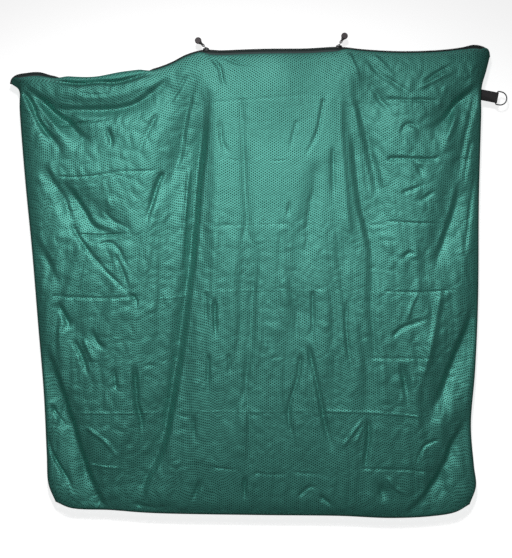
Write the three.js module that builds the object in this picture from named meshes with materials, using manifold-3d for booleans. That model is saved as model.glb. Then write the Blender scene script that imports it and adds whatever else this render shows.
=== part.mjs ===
// Carp sack of perforated nylon net, hung by the zip along its top edge.
// Millimetres, +Z up, the front towards -Y. The origin is on the zip line, midway between the sliders.

import * as THREE from 'three';
import Module from 'manifold-3d';
import { mergeVertices } from 'three/addons/utils/BufferGeometryUtils.js';

const { degToRad, lerp, smoothstep } = THREE.MathUtils;

// Cloth: two sheets that meet at the side and bottom seams
const CLOTH = 2;
const FIT = 0.3; // room between two pieces that meet
const RIM_ROLL = 14; // how far the front rolls out from its seams
const RIM_REACH = 42; // width of that roll
const BELLY = 15; // further swell of the front, away from the seams
const BELLY_REACH = 260;
const BACK_SWELL = 10; // swell of the back, which hangs flatter
const BACK_REACH = 90;
const COLUMNS = 64;
const FRONT_ROWS = 26;
const BACK_ROWS = 12;
const FRONT_CROWDING = 0.07; // rows lie closer together near the top and the bottom
const BACK_CROWDING = 0.12;

// Zip: two tapes with coils, open between two sliders that face each other
const COIL_RADIUS = 1.3;
const TAPE = 1.2;
const TAPE_DEPTH = 16;
const ZIP_REVEAL = 7; // height of zip that shows above the cloth
const SLIDER_X = 158; // distance of each slider from the middle
const SLIDER_STRAIGHT = 30; // the coils run parallel this far on both sides of a slider
const SLIDER_EASE = 50; // and close up over this length after it
const MOUTH_HALF = 12; // half the gap between the coils in the middle of the open stretch
const ROLLED_FROM = -520; // the front cloth rolls up over the zip along this stretch
const ROLLED_TO = -280;
const ROLLED_EASE = 40;
const ROLLED_DROP = 9; // how far the zip then lies below the rolled edge
const ZIP_STEPS = { left: 26, open: 18, right: 20 }; // of each half, left of, between and right of the sliders

// Slider and pull
const SLIDER_LONG = 14;
const SLIDER_POST = 0.6; // half the width of the post between the coils
const SLIDER_PLATE = 1.5;
const SLIDER_FLANGE = 1.2;
const SLIDER_HEADROOM = 1;
const SLIDER_SKIRT = 2; // the flanges reach this far below the coils' axis
const BAIL = { outer: [4.2, 3.9], inner: [2.8, 2.6], deep: 2.4, sunk: 0.3 };
const LINK = { wire: 0.6, half: 3.2, long: 9.5 };
const PULL = { eyeAt: 9.2, eye: 1.7, eyeEnd: 3.4, neck: 2.4, headAt: 26, head: 7.8, thick: 4, bevel: 0.8 };
const PULL_LEAN_LEFT = -45;
const PULL_LEAN_RIGHT = 29;

// Side tab of folded webbing and its ring of bent wire
const WEBBING_WIDE = 25;
const WEBBING = 1.5;
const TAB_SEWN_IN = 8;
const TAB_PRESSED = 1.2; // thickness of each layer where the seam's stitches press it
const TAB_PRESSED_LONG = 13; // how far that reaches from the sewn-in end
const TAB_PRESSED_EASE = 1.5;
const TAB_OUT = 40;
const TAB_ROOT = { x: 497, z: -109 }; // where the tab leaves the side seam
const TAB_TILT = -11;
const RING = { wire: 1.5, half: 15.7, legs: 8.8, corner: 3.2, joint: 0.3 };

// Outline in the hanging plane, as [x, z]. The left nose and the right corner are peaks of the top edge.
const TOP_EDGE = [
  [-625, -83], [-622, -72], [-610, -62], [-585, -57], [-555, -55], [-520, -64], [-470, -69], [-420, -69],
  [-360, -58], [-290, -48], [-245, -33], [-205, -13], [-165, -2], [-125, -3], [-70, -2], [65, 0],
  [145, 5], [175, 4], [210, 0], [305, -5], [400, -2], [450, 4], [480, 10], [503, 5], [515, -5], [518, -19],
];
const LEFT_EDGE = [
  [-603, -98], [-601, -145], [-589, -305], [-572, -480], [-558, -650], [-544, -820], [-537, -965],
  [-533, -1035], [-516, -1077],
];
const RIGHT_EDGE = [
  [508, -52], [497, -92], [496, -165], [491, -360], [489, -600], [482, -765], [472, -895], [479, -990],
  [484, -1040], [469, -1083],
];
const BOTTOM_EDGE = [
  [-516, -1077], [-480, -1092], [-385, -1097], [-290, -1104], [-30, -1109], [160, -1111], [280, -1116],
  [375, -1112], [435, -1102], [469, -1083],
];

// Main folds of the front, along a path of [x, z]: wide is how far a fold spreads to each side, and deep
// is how far it is pressed in, or stands out where it is negative
const FRONT_FOLDS = [
  { name: 'roll below the zip', path: [[-530, -95], [-400, -118], [-270, -76]], wide: 18, deep: -9 },
  { name: 'upper swag', path: [[-510, -125], [-410, -142], [-300, -118], [-210, -55]], wide: 18, deep: 10 },
  { name: 'second swag', path: [[-500, -150], [-400, -172], [-255, -110]], wide: 16, deep: -5 },
  { name: 'left corner', path: [[-577, -110], [-505, -160], [-445, -212], [-395, -255]], wide: 20, deep: 13 },
  { name: 'left corner ridge', path: [[-550, -140], [-505, -190], [-455, -265]], wide: 18, deep: -7 },
  { name: 'left rim', path: [[-560, -165], [-530, -210], [-490, -285]], wide: 18, deep: 9 },
  { name: 'left flank', path: [[-510, -310], [-435, -375], [-365, -420], [-315, -436]], wide: 24, deep: 12 },
  { name: 'left flank far arm', path: [[-255, -290], [-280, -355], [-312, -432]], wide: 16, deep: 8 },
  { name: 'left waist', path: [[-540, -335], [-470, -420], [-400, -508]], wide: 20, deep: 8 },
  { name: 'left outer fan', path: [[-225, -70], [-268, -157], [-310, -245]], wide: 18, deep: 7 },
  { name: 'left fan', path: [[-180, -50], [-206, -180], [-234, -360], [-253, -510]], wide: 18, deep: 7 },
  { name: 'left fall', path: [[-158, -80], [-165, -330], [-205, -690], [-275, -1020]], wide: 24, deep: 11 },
  { name: 'left fall ridge', path: [[-142, -50], [-135, -335], [-142, -600]], wide: 20, deep: -7 },
  { name: 'left fall far ridge', path: [[-208, -335], [-230, -600], [-270, -885]], wide: 22, deep: -7 },
  { name: 'middle fall', path: [[-75, -215], [-55, -480], [-58, -770], [-96, -945]], wide: 20, deep: 7 },
  { name: 'middle right fall', path: [[108, -260], [72, -450], [40, -760], [36, -980]], wide: 18, deep: 7 },
  { name: 'right inner fall', path: [[144, -240], [143, -360], [163, -575], [175, -720]], wide: 18, deep: 6 },
  { name: 'right fall', path: [[168, -110], [200, -400], [232, -715], [223, -955]], wide: 20, deep: 10 },
  { name: 'right fall ridge', path: [[184, -35], [207, -310], [226, -420]], wide: 16, deep: -6 },
  { name: 'right fan', path: [[178, -60], [202, -192], [239, -383], [258, -460]], wide: 22, deep: 10 },
  { name: 'right outer fan', path: [[196, -50], [244, -129], [300, -205]], wide: 18, deep: 10 },
  { name: 'right corner', path: [[489, -92], [434, -131], [387, -174], [330, -200]], wide: 22, deep: 15 },
  { name: 'right corner ridge', path: [[465, -132], [422, -195], [406, -280]], wide: 18, deep: -9 },
  { name: 'right flank', path: [[456, -193], [422, -348], [382, -478], [346, -588]], wide: 26, deep: 13 },
  { name: 'right flank ridge', path: [[446, -288], [413, -443], [375, -635]], wide: 18, deep: -6 },
  { name: 'right waist', path: [[439, -655], [406, -800], [363, -885], [332, -980]], wide: 22, deep: 12 },
  { name: 'right waist ridge', path: [[375, -645], [353, -765], [336, -860]], wide: 20, deep: -7 },
  { name: 'lower right', path: [[465, -823], [422, -938], [375, -1038], [342, -1097]], wide: 24, deep: 18 },
  { name: 'lower left', path: [[-513, -776], [-475, -900], [-430, -1014], [-396, -1092]], wide: 24, deep: 18 },
  { name: 'lower left rim', path: [[-534, -895], [-506, -990], [-470, -1066]], wide: 18, deep: 9 },
  { name: 'left hip', path: [[-506, -597], [-458, -688], [-430, -776]], wide: 20, deep: 8 },
  { name: 'left lower fall', path: [[-327, -764], [-315, -871], [-296, -975]], wide: 18, deep: 6 },
];

// The back hangs in four broad folds from the sliders
const BACK_FOLDS = [
  { name: 'back left fall', path: [[-165, -60], [-200, -480], [-250, -960]], wide: 40, deep: 5 },
  { name: 'back right fall', path: [[165, -60], [215, -480], [240, -960]], wide: 40, deep: 5 },
  { name: 'back left corner', path: [[-560, -130], [-440, -280], [-380, -420]], wide: 36, deep: 4 },
  { name: 'back right corner', path: [[470, -120], [390, -260], [340, -420]], wide: 36, deep: 4 },
];

const LOOKS = {
  net: { color: 0x3b8577, roughness: 0.55, metalness: 0 },
  zip: { color: 0x1d2022, roughness: 0.6, metalness: 0 },
  slider: { color: 0x23262a, roughness: 0.4, metalness: 0.6 },
  wire: { color: 0xb9bcbd, roughness: 0.3, metalness: 1 },
  pull: { color: 0x574f51, roughness: 0.6, metalness: 0 },
  webbing: { color: 0x2a292b, roughness: 0.8, metalness: 0 },
};

const wasm = await Module();
wasm.setup();

const sack = new THREE.Group();

function add(name, geometry, look, parent = sack) {
  const mesh = new THREE.Mesh(geometry, new THREE.MeshStandardMaterial(LOOKS[look]));
  mesh.name = name;
  parent.add(mesh);
  return mesh;
}

// Moves every point of a geometry to where place puts it
function bend(geometry, place) {
  const points = geometry.getAttribute('position');
  const point = new THREE.Vector3();
  for (let i = 0; i < points.count; i += 1) {
    const moved = place(point.fromBufferAttribute(points, i));
    points.setXYZ(i, moved.x, moved.y, moved.z);
  }
  geometry.computeVertexNormals();
  return geometry;
}

function solid(geometry) {
  const bare = geometry.clone();
  bare.deleteAttribute('normal');
  bare.deleteAttribute('uv');
  const merged = mergeVertices(bare.index ? bare.toNonIndexed() : bare, 1e-4);
  return new wasm.Manifold(new wasm.Mesh({
    numProp: 3,
    vertProperties: new Float32Array(merged.getAttribute('position').array),
    triVerts: new Uint32Array(merged.index.array),
  }));
}

function joined(first, second) {
  const mesh = solid(first).add(solid(second)).getMesh();
  const geometry = new THREE.BufferGeometry();
  geometry.setAttribute('position', new THREE.BufferAttribute(mesh.vertProperties, 3));
  geometry.setIndex(new THREE.BufferAttribute(mesh.triVerts, 1));
  geometry.computeVertexNormals();
  return geometry;
}

function edgeCurve(points) {
  const curve = new THREE.CatmullRomCurve3(points.map(([x, z]) => new THREE.Vector3(x, 0, z)));
  curve.arcLengthDivisions = 600;
  return curve;
}

// The top edge, its direction into the sack, and the lines that run below it
const top = edgeCurve(TOP_EDGE);

function inwards(u) {
  const along = top.getTangentAt(u);
  return new THREE.Vector3(along.z, 0, -along.x);
}

// 1 where the front cloth is rolled up over the zip, 0 where the zip shows
function rolled(x) {
  const begins = smoothstep(x, ROLLED_FROM, ROLLED_FROM + ROLLED_EASE);
  return begins * (1 - smoothstep(x, ROLLED_TO - ROLLED_EASE, ROLLED_TO));
}

function belowTop(u, depthAt) {
  const point = top.getPointAt(u);
  return point.addScaledVector(inwards(u), depthAt(point.x));
}

const clothTop = (u) => belowTop(u, (x) => ZIP_REVEAL * (1 - rolled(x)));
const coilLine = (u) => belowTop(u, (x) => COIL_RADIUS + ROLLED_DROP * rolled(x));

// How far each coil lies from the plane between the two halves
const COILS_CLOSED = COIL_RADIUS + FIT / 2;
const COILS_AT_SLIDER = SLIDER_POST + FIT + COIL_RADIUS;

function coilOffset(x) {
  const across = Math.abs(x);
  const mouthEnd = SLIDER_X - SLIDER_STRAIGHT;
  if (across < mouthEnd) {
    const open = Math.cos((Math.PI / 2) * (across / mouthEnd)) ** 2;
    return lerp(COILS_AT_SLIDER, MOUTH_HALF, open);
  }
  const closing = SLIDER_X + SLIDER_STRAIGHT;
  return lerp(COILS_AT_SLIDER, COILS_CLOSED, smoothstep(across, closing, closing + SLIDER_EASE));
}

// The four edges of a panel and the patch of cloth spread between them
const corners = { topLeft: clothTop(0), topRight: clothTop(1) };
const left = edgeCurve([[corners.topLeft.x, corners.topLeft.z], ...LEFT_EDGE]);
const right = edgeCurve([[corners.topRight.x, corners.topRight.z], ...RIGHT_EDGE]);
const bottom = edgeCurve(BOTTOM_EDGE);
corners.bottomLeft = bottom.getPointAt(0);
corners.bottomRight = bottom.getPointAt(1);

function spread(u, v) {
  const edges = {
    top: clothTop(u),
    bottom: bottom.getPointAt(u),
    left: left.getPointAt(v),
    right: right.getPointAt(v),
  };
  const point = new THREE.Vector3();
  point.addScaledVector(edges.top, 1 - v).addScaledVector(edges.bottom, v);
  point.addScaledVector(edges.left, 1 - u).addScaledVector(edges.right, u);
  point.addScaledVector(corners.topLeft, -(1 - u) * (1 - v)).addScaledVector(corners.topRight, -u * (1 - v));
  point.addScaledVector(corners.bottomLeft, -(1 - u) * v).addScaledVector(corners.bottomRight, -u * v);
  return {
    point,
    fromTop: edges.top.z - point.z,
    fromBottom: point.z - edges.bottom.z,
    fromLeft: point.x - edges.left.x,
    fromRight: edges.right.x - point.x,
  };
}

// Quarter-round rise from an edge, 0 at the edge and 1 from reach inwards
function rise(distance, reach) {
  const left = 1 - Math.min(Math.max(distance / reach, 0), 1);
  return Math.sqrt(1 - left * left);
}

function riseFromSeams(place, reach) {
  return rise(place.fromLeft, reach) * rise(place.fromRight, reach) * rise(place.fromBottom, reach);
}

// Distance of a panel's middle from the seam plane where it is sewn to the zip, the tab or the other panel
const SEAM_SEAT = FIT / 2 + CLOTH / 2;
const TAB_PARTING = TAB_PRESSED + FIT / 2;

function seat(place) {
  const zipSeat = coilOffset(place.point.x) + TAPE + FIT + CLOTH / 2;
  const atZip = 1 - smoothstep(place.fromTop, 2 * TAPE_DEPTH, 7 * TAPE_DEPTH);
  const alongTab = Math.abs(place.point.z - TAB_ROOT.z);
  const besideTab = 1 - smoothstep(alongTab, WEBBING_WIDE, 3 * WEBBING_WIDE);
  const atTab = besideTab * (1 - smoothstep(place.fromRight, 2 * TAB_SEWN_IN, 6 * TAB_SEWN_IN));
  return lerp(SEAM_SEAT, zipSeat, atZip) + TAB_PARTING * atTab;
}

const foldPaths = new Map();

function foldPath(fold) {
  if (!foldPaths.has(fold)) {
    const spline = new THREE.SplineCurve(fold.path.map(([x, z]) => new THREE.Vector2(x, z)));
    foldPaths.set(fold, spline.getPoints(6 * (fold.path.length - 1)));
  }
  return foldPaths.get(fold);
}

// How far a fold presses a point in: a soft trough or ridge that fades out at both ends of its path
function pressedBy(fold, x, z) {
  const points = foldPath(fold);
  let nearest = { distance: Infinity, along: 0 };
  for (let i = 1; i < points.length; i += 1) {
    const start = points[i - 1];
    const stretch = points[i].clone().sub(start);
    const reach = new THREE.Vector2(x, z).sub(start);
    const share = Math.min(Math.max(reach.dot(stretch) / stretch.lengthSq(), 0), 1);
    const distance = reach.addScaledVector(stretch, -share).length();
    if (distance < nearest.distance) {
      nearest = { distance, along: (i - 1 + share) / (points.length - 1) };
    }
  }
  const ends = smoothstep(nearest.along, 0, 0.2) * (1 - smoothstep(nearest.along, 0.7, 1));
  return fold.deep * ends * Math.exp(-((nearest.distance / fold.wide) ** 2));
}

function pressed(folds, point) {
  return folds.reduce((sum, fold) => sum + pressedBy(fold, point.x, point.z), 0);
}

function frontDepth(place) {
  const hang = rise(place.fromTop, BELLY_REACH);
  const swell = RIM_ROLL * riseFromSeams(place, RIM_REACH) + BELLY * hang * riseFromSeams(place, BELLY_REACH);
  return seat(place) + Math.max(0, swell - pressed(FRONT_FOLDS, place.point));
}

function backDepth(place) {
  const swell = BACK_SWELL * riseFromSeams(place, BACK_REACH);
  return seat(place) + Math.max(0, swell - pressed(BACK_FOLDS, place.point));
}

const LOWER_FACE = 3; // the group of a box's -Y face
const CORNERS_OF_QUAD = 6; // in its two triangles

// Splits both faces of a flat box along the same diagonals, so that they stay parallel when they are bent
function matchDiagonals(box) {
  const { start, count } = box.groups[LOWER_FACE];
  for (let i = start; i < start + count; i += CORNERS_OF_QUAD) {
    const [a, b, d, , c] = box.index.array.slice(i, i + CORNERS_OF_QUAD);
    box.index.array.set([a, b, c, a, c, d], i);
  }
  return box;
}

// A sheet of cloth: side is -1 for the front and 1 for the back
function sheet(rows, crowding, side, depth) {
  const flat = matchDiagonals(new THREE.BoxGeometry(1, 1, 1, COLUMNS, 1, rows));
  return bend(flat, (p) => {
    const row = 0.5 - p.z;
    const v = row - crowding * Math.sin(2 * Math.PI * row);
    const place = spread(p.x + 0.5, v);
    place.point.y = side * depth(place) + p.y * CLOTH;
    return place.point;
  });
}

add('front_panel', sheet(FRONT_ROWS, FRONT_CROWDING, -1, frontDepth), 'net');
add('back_panel', sheet(BACK_ROWS, BACK_CROWDING, 1, backDepth), 'net');

// Half of the zip in section: the tape hangs from the coil, and x is measured outwards from the coil's axis
function zipSection() {
  const section = new THREE.Shape();
  section.moveTo(0, -TAPE_DEPTH);
  section.lineTo(TAPE, -TAPE_DEPTH);
  section.lineTo(TAPE, -COIL_RADIUS / 2);
  for (const turn of [45, 90, 135, 180, 225, 270]) {
    section.lineTo(COIL_RADIUS * Math.cos(degToRad(turn)), COIL_RADIUS * Math.sin(degToRad(turn)));
  }
  return section;
}

// A length of one half, from one share of the top edge to another
function zipLength(side, from, to, steps) {
  const strip = new THREE.ExtrudeGeometry(zipSection(), { steps, depth: 1, bevelEnabled: false });
  return bend(strip, (p) => {
    const u = side < 0 ? lerp(to, from, p.z) : lerp(from, to, p.z);
    const point = coilLine(u);
    point.y = side * (coilOffset(top.getPointAt(u).x) + p.x);
    return point.addScaledVector(inwards(u), -p.y);
  });
}

// The place on the top edge with a given x
function topShareAt(x) {
  let low = 0;
  let high = 1;
  for (let i = 0; i < 40; i += 1) {
    const middle = (low + high) / 2;
    if (top.getPointAt(middle).x < x) low = middle;
    else high = middle;
  }
  return low;
}

// Each half in three lengths, which meet inside the sliders
function addZipHalf(name, side) {
  const room = FIT / 2 / top.getLength();
  const leftCut = topShareAt(-SLIDER_X);
  const rightCut = topShareAt(SLIDER_X);
  add(`zip_${name}_left`, zipLength(side, 0, leftCut - room, ZIP_STEPS.left), 'zip');
  add(`zip_${name}_open`, zipLength(side, leftCut + room, rightCut - room, ZIP_STEPS.open), 'zip');
  add(`zip_${name}_right`, zipLength(side, rightCut + room, 1, ZIP_STEPS.right), 'zip');
}

addZipHalf('front', -1);
addZipHalf('back', 1);

// Wire bent along points, with its two ends close together
function bentWire(points, radius, steps) {
  const ring = new THREE.Shape();
  ring.absarc(0, 0, radius, 0, 2 * Math.PI);
  const extrudePath = new THREE.CatmullRomCurve3(points);
  return new THREE.ExtrudeGeometry(ring, { steps, curveSegments: 4, extrudePath });
}

// Slider: top plate with flanges over the coils, a post between them and a plate inside the sack
function sliderBody() {
  const flangeIn = COILS_AT_SLIDER + COIL_RADIUS + FIT;
  const flangeOut = flangeIn + SLIDER_FLANGE;
  const under = COIL_RADIUS + SLIDER_HEADROOM;
  const over = under + SLIDER_PLATE;
  const innerPlate = COILS_AT_SLIDER - FIT;
  const half = [
    [flangeOut, over], [flangeOut, -SLIDER_SKIRT], [flangeIn, -SLIDER_SKIRT], [flangeIn, under],
    [SLIDER_POST, under], [SLIDER_POST, -under], [innerPlate, -under], [innerPlate, -over],
  ];
  const otherHalf = half.map(([y, z]) => [-y, z]).reverse();
  const section = new THREE.Shape([...half, ...otherHalf].map(([y, z]) => new THREE.Vector2(y, z)));
  const body = new THREE.ExtrudeGeometry(section, { depth: SLIDER_LONG, bevelEnabled: false });
  body.translate(0, 0, -SLIDER_LONG / 2);
  const sectionAcrossZip = new THREE.Matrix4().makeBasis(
    new THREE.Vector3(0, 1, 0),
    new THREE.Vector3(0, 0, 1),
    new THREE.Vector3(1, 0, 0),
  );
  return body.applyMatrix4(sectionAcrossZip);
}

const PLATE_TOP = COIL_RADIUS + SLIDER_HEADROOM + SLIDER_PLATE;
const uprightFacingFront = new THREE.Matrix4().makeBasis(
  new THREE.Vector3(1, 0, 0),
  new THREE.Vector3(0, 0, 1),
  new THREE.Vector3(0, -1, 0),
);

function sliderBail() {
  const arch = new THREE.Shape();
  arch.absellipse(0, 0, ...BAIL.outer, 0, Math.PI);
  arch.lineTo(-BAIL.inner[0], 0);
  arch.absellipse(0, 0, ...BAIL.inner, Math.PI, 0, true);
  const bail = new THREE.ExtrudeGeometry(arch, { depth: BAIL.deep, curveSegments: 6, bevelEnabled: false });
  bail.translate(0, PLATE_TOP - BAIL.sunk, -BAIL.deep / 2);
  return bail.applyMatrix4(uprightFacingFront);
}

// Oval wire link that stands on edge, from the bail at its foot to the pull's eye at its head
function pullLink() {
  const points = [];
  const bend = LINK.half;
  for (let turn = -175; turn <= 175; turn += 25) {
    const angle = degToRad(turn);
    const centre = Math.abs(turn) < 90 ? LINK.long - bend : bend;
    points.push(new THREE.Vector3(0, bend * Math.sin(angle), centre + bend * Math.cos(angle)));
  }
  return bentWire(points, LINK.wire, 28);
}

// Moulded pull: an eye at its foot, a neck and a round head that faces the front
function pullBody() {
  const shoulder = degToRad(-50);
  const shoulderX = PULL.head * Math.cos(shoulder);
  const shoulderZ = PULL.headAt + PULL.head * Math.sin(shoulder);
  const neckZ = (PULL.eyeAt + shoulderZ) / 2;
  const outline = new THREE.Shape();
  outline.absarc(0, PULL.eyeAt, PULL.eyeEnd, Math.PI, 2 * Math.PI);
  outline.quadraticCurveTo(PULL.neck, neckZ, shoulderX, shoulderZ);
  outline.absarc(0, PULL.headAt, PULL.head, shoulder, Math.PI - shoulder);
  outline.quadraticCurveTo(-PULL.neck, neckZ, -PULL.eyeEnd, PULL.eyeAt);
  const eye = new THREE.Path();
  eye.absarc(0, PULL.eyeAt, PULL.eye, 0, 2 * Math.PI, true);
  outline.holes.push(eye);
  const flat = PULL.thick - 2 * PULL.bevel;
  const pull = new THREE.ExtrudeGeometry(outline, {
    depth: flat,
    curveSegments: 5,
    bevelThickness: PULL.bevel,
    bevelSize: PULL.bevel,
    bevelOffset: -PULL.bevel,
    bevelSegments: 1,
  });
  pull.translate(0, 0, -flat / 2);
  return pull.applyMatrix4(uprightFacingFront);
}

function addSlider(name, x, leanDegrees) {
  const u = topShareAt(x);
  const along = top.getTangentAt(u);
  const carriage = new THREE.Group();
  carriage.position.copy(coilLine(u));
  carriage.rotation.y = -Math.atan2(along.z, along.x);
  sack.add(carriage);
  add(`slider_${name}`, joined(sliderBody(), sliderBail()), 'slider', carriage);

  const standing = new THREE.Group();
  standing.position.z = PLATE_TOP - BAIL.sunk + BAIL.inner[1] / 2;
  standing.rotation.y = degToRad(leanDegrees);
  carriage.add(standing);
  add(`pull_link_${name}`, pullLink(), 'wire', standing);
  add(`pull_${name}`, pullBody(), 'pull', standing);
}

addSlider('left', -SLIDER_X, PULL_LEAN_LEFT);
addSlider('right', SLIDER_X, PULL_LEAN_RIGHT);

// Side tab: two layers of webbing, folded round the ring's bar
const tabEyeRadius = RING.wire + FIT;
const tabEndRadius = tabEyeRadius + WEBBING;
const tabLong = TAB_SEWN_IN + TAB_OUT;
const ringBarX = tabLong - tabEndRadius;

function tabBody() {
  const meeting = Math.PI - Math.asin(WEBBING / tabEndRadius);
  const outline = new THREE.Shape();
  outline.moveTo(0, TAB_PRESSED);
  outline.lineTo(0, -TAB_PRESSED);
  outline.lineTo(TAB_PRESSED_LONG - TAB_PRESSED_EASE, -TAB_PRESSED);
  outline.lineTo(TAB_PRESSED_LONG, -WEBBING);
  outline.absarc(ringBarX, 0, tabEndRadius, -meeting, meeting);
  outline.lineTo(TAB_PRESSED_LONG, WEBBING);
  outline.lineTo(TAB_PRESSED_LONG - TAB_PRESSED_EASE, TAB_PRESSED);
  const eye = new THREE.Path();
  eye.absarc(ringBarX, 0, tabEyeRadius, 0, 2 * Math.PI, true);
  outline.holes.push(eye);
  const across = { depth: WEBBING_WIDE, curveSegments: 8, bevelEnabled: false };
  return new THREE.ExtrudeGeometry(outline, across).translate(0, 0, -WEBBING_WIDE / 2);
}

// D-ring: half of its wire from the joint in the bar to the top of the bow, then the same mirrored
function ringBody() {
  const straight = RING.half - RING.corner;
  const half = [[0, RING.joint], [0, straight / 2], [0, straight * 0.8], [0, straight]];
  half.push([RING.corner * 0.3, RING.half - RING.corner * 0.3], [RING.corner, RING.half]);
  for (let turn = 90; turn > 0; turn -= 22.5) {
    const angle = degToRad(turn);
    half.push([RING.legs + RING.half * Math.cos(angle), RING.half * Math.sin(angle)]);
  }
  const bowTop = [RING.legs + RING.half, 0];
  const otherHalf = half.map(([x, z]) => [x, -z]).reverse();
  const points = [...half, bowTop, ...otherHalf].map(([x, z]) => new THREE.Vector3(ringBarX + x, 0, z));
  return bentWire(points, RING.wire, 40);
}

const tabHang = new THREE.Group();
tabHang.rotation.y = -degToRad(TAB_TILT);
tabHang.position.set(
  TAB_ROOT.x - TAB_SEWN_IN * Math.cos(degToRad(TAB_TILT)),
  0,
  TAB_ROOT.z - TAB_SEWN_IN * Math.sin(degToRad(TAB_TILT)),
);
sack.add(tabHang);
add('side_tab', tabBody(), 'webbing', tabHang);
add('d_ring', ringBody(), 'wire', tabHang);

export default sack;
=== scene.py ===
import math
from typing import NamedTuple

import bmesh
import bpy
import numpy as np
from bpy.props import FloatProperty, FloatVectorProperty, IntProperty, PointerProperty
from mathutils import Matrix, Vector, noise


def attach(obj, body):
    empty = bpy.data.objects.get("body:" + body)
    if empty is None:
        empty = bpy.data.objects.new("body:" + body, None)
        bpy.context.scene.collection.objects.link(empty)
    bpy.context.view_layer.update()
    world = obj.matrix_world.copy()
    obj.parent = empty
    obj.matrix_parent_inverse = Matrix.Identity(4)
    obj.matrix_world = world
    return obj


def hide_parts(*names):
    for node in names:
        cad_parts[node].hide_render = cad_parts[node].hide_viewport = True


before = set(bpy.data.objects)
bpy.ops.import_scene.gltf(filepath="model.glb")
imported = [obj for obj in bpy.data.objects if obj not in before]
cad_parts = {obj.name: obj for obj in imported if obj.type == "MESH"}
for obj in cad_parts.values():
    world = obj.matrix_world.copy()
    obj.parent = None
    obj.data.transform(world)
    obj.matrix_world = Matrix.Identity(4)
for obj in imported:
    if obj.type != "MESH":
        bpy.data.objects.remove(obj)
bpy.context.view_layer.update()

bl_info = {
    "name": "Hung carp sack",
    "version": (1, 0, 0),
    "blender": (4, 5, 0),
    "location": "3D View > Sidebar > Sack",
    "description": "Builds a carp sack of perforated net, hung by the zip along its top edge",
    "category": "Object",
}

MM = 0.001  # lengths below are in millimetres, and meshes are in metres

# The outline of the hung cloth, as (x, z)
TOP_EDGE = [
    (-625, -83), (-622, -72), (-610, -62), (-585, -57), (-555, -55), (-520, -64), (-470, -69), (-420, -69),
    (-360, -58), (-290, -48), (-245, -33), (-205, -13), (-165, -2), (-125, -3), (-70, -2), (65, 0),
    (145, 5), (175, 4), (210, 0), (305, -5), (400, -2), (450, 4), (480, 10), (503, 5), (515, -5), (518, -19),
]
LEFT_EDGE = [
    (-603, -98), (-601, -145), (-589, -305), (-572, -480), (-558, -650), (-544, -820), (-537, -965),
    (-533, -1035), (-516, -1077),
]
RIGHT_EDGE = [
    (508, -52), (497, -92), (496, -165), (491, -360), (489, -600), (482, -765), (472, -895), (479, -990),
    (484, -1040), (469, -1083),
]
BOTTOM_EDGE = [
    (-516, -1077), (-480, -1092), (-385, -1097), (-290, -1104), (-30, -1109), (160, -1111), (280, -1116),
    (375, -1112), (435, -1102), (469, -1083),
]

# How the cloth swells and where it is seated
SHEET_ROOM = 2.0  # thickness that each panel takes up between its neighbours
FIT = 0.3
RIM_ROLL, RIM_REACH = 14, 42  # roll of the front out from its seams, which isn't faded out at the zip
BELLY, BELLY_REACH = 15, 260
BACK_SWELL, BACK_REACH = 10, 90  # the same for the back
BACK_FULLNESS = 1.17  # the back is gathered this much along the zip
COIL_RADIUS = 1.3
TAPE = 1.2
TAPE_DEPTH = 16
ZIP_REVEAL, MOUTH_REVEAL, CORNER_REVEAL = 8, 7, 5
SLIDER_X, SLIDER_STRAIGHT, SLIDER_EASE = 158, 30, 50
LEFT_CORNER, RIGHT_CORNER = (-560, -520), (440, 485)  # stretches in which the zip begins to show more
LEFT_TIP, RIGHT_TIP = (-622, -600), (492, 512)
LEFT_TIP_HIDDEN, RIGHT_TIP_HIDDEN = 0.6, 0.85
MOUTH_HALF = 12
ROLLED_FROM, ROLLED_TO, ROLLED_EASE, ROLLED_DROP = -520, -280, 40, 9
SLIDER_POST = 0.6
WEBBING_WIDE, WEBBING = 25, 1.5
TAB_SEWN_IN, TAB_PRESSED = 8, 1.2
TAB_ROOT_X, TAB_ROOT_Z, TAB_TILT = 497, -109, -11


class Fold(NamedTuple):
    """A trough along a path of (x, z), or a ridge where deep is negative.

    It spreads wide to each side. Towards its far end it widens and deepens where grows is above 1, and
    narrows and fades where grows is below 1. Its steep side is step wide.
    """

    name: str
    path: list
    wide: float
    deep: float
    grows: float = 1.0
    step: float = 10.0


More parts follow.
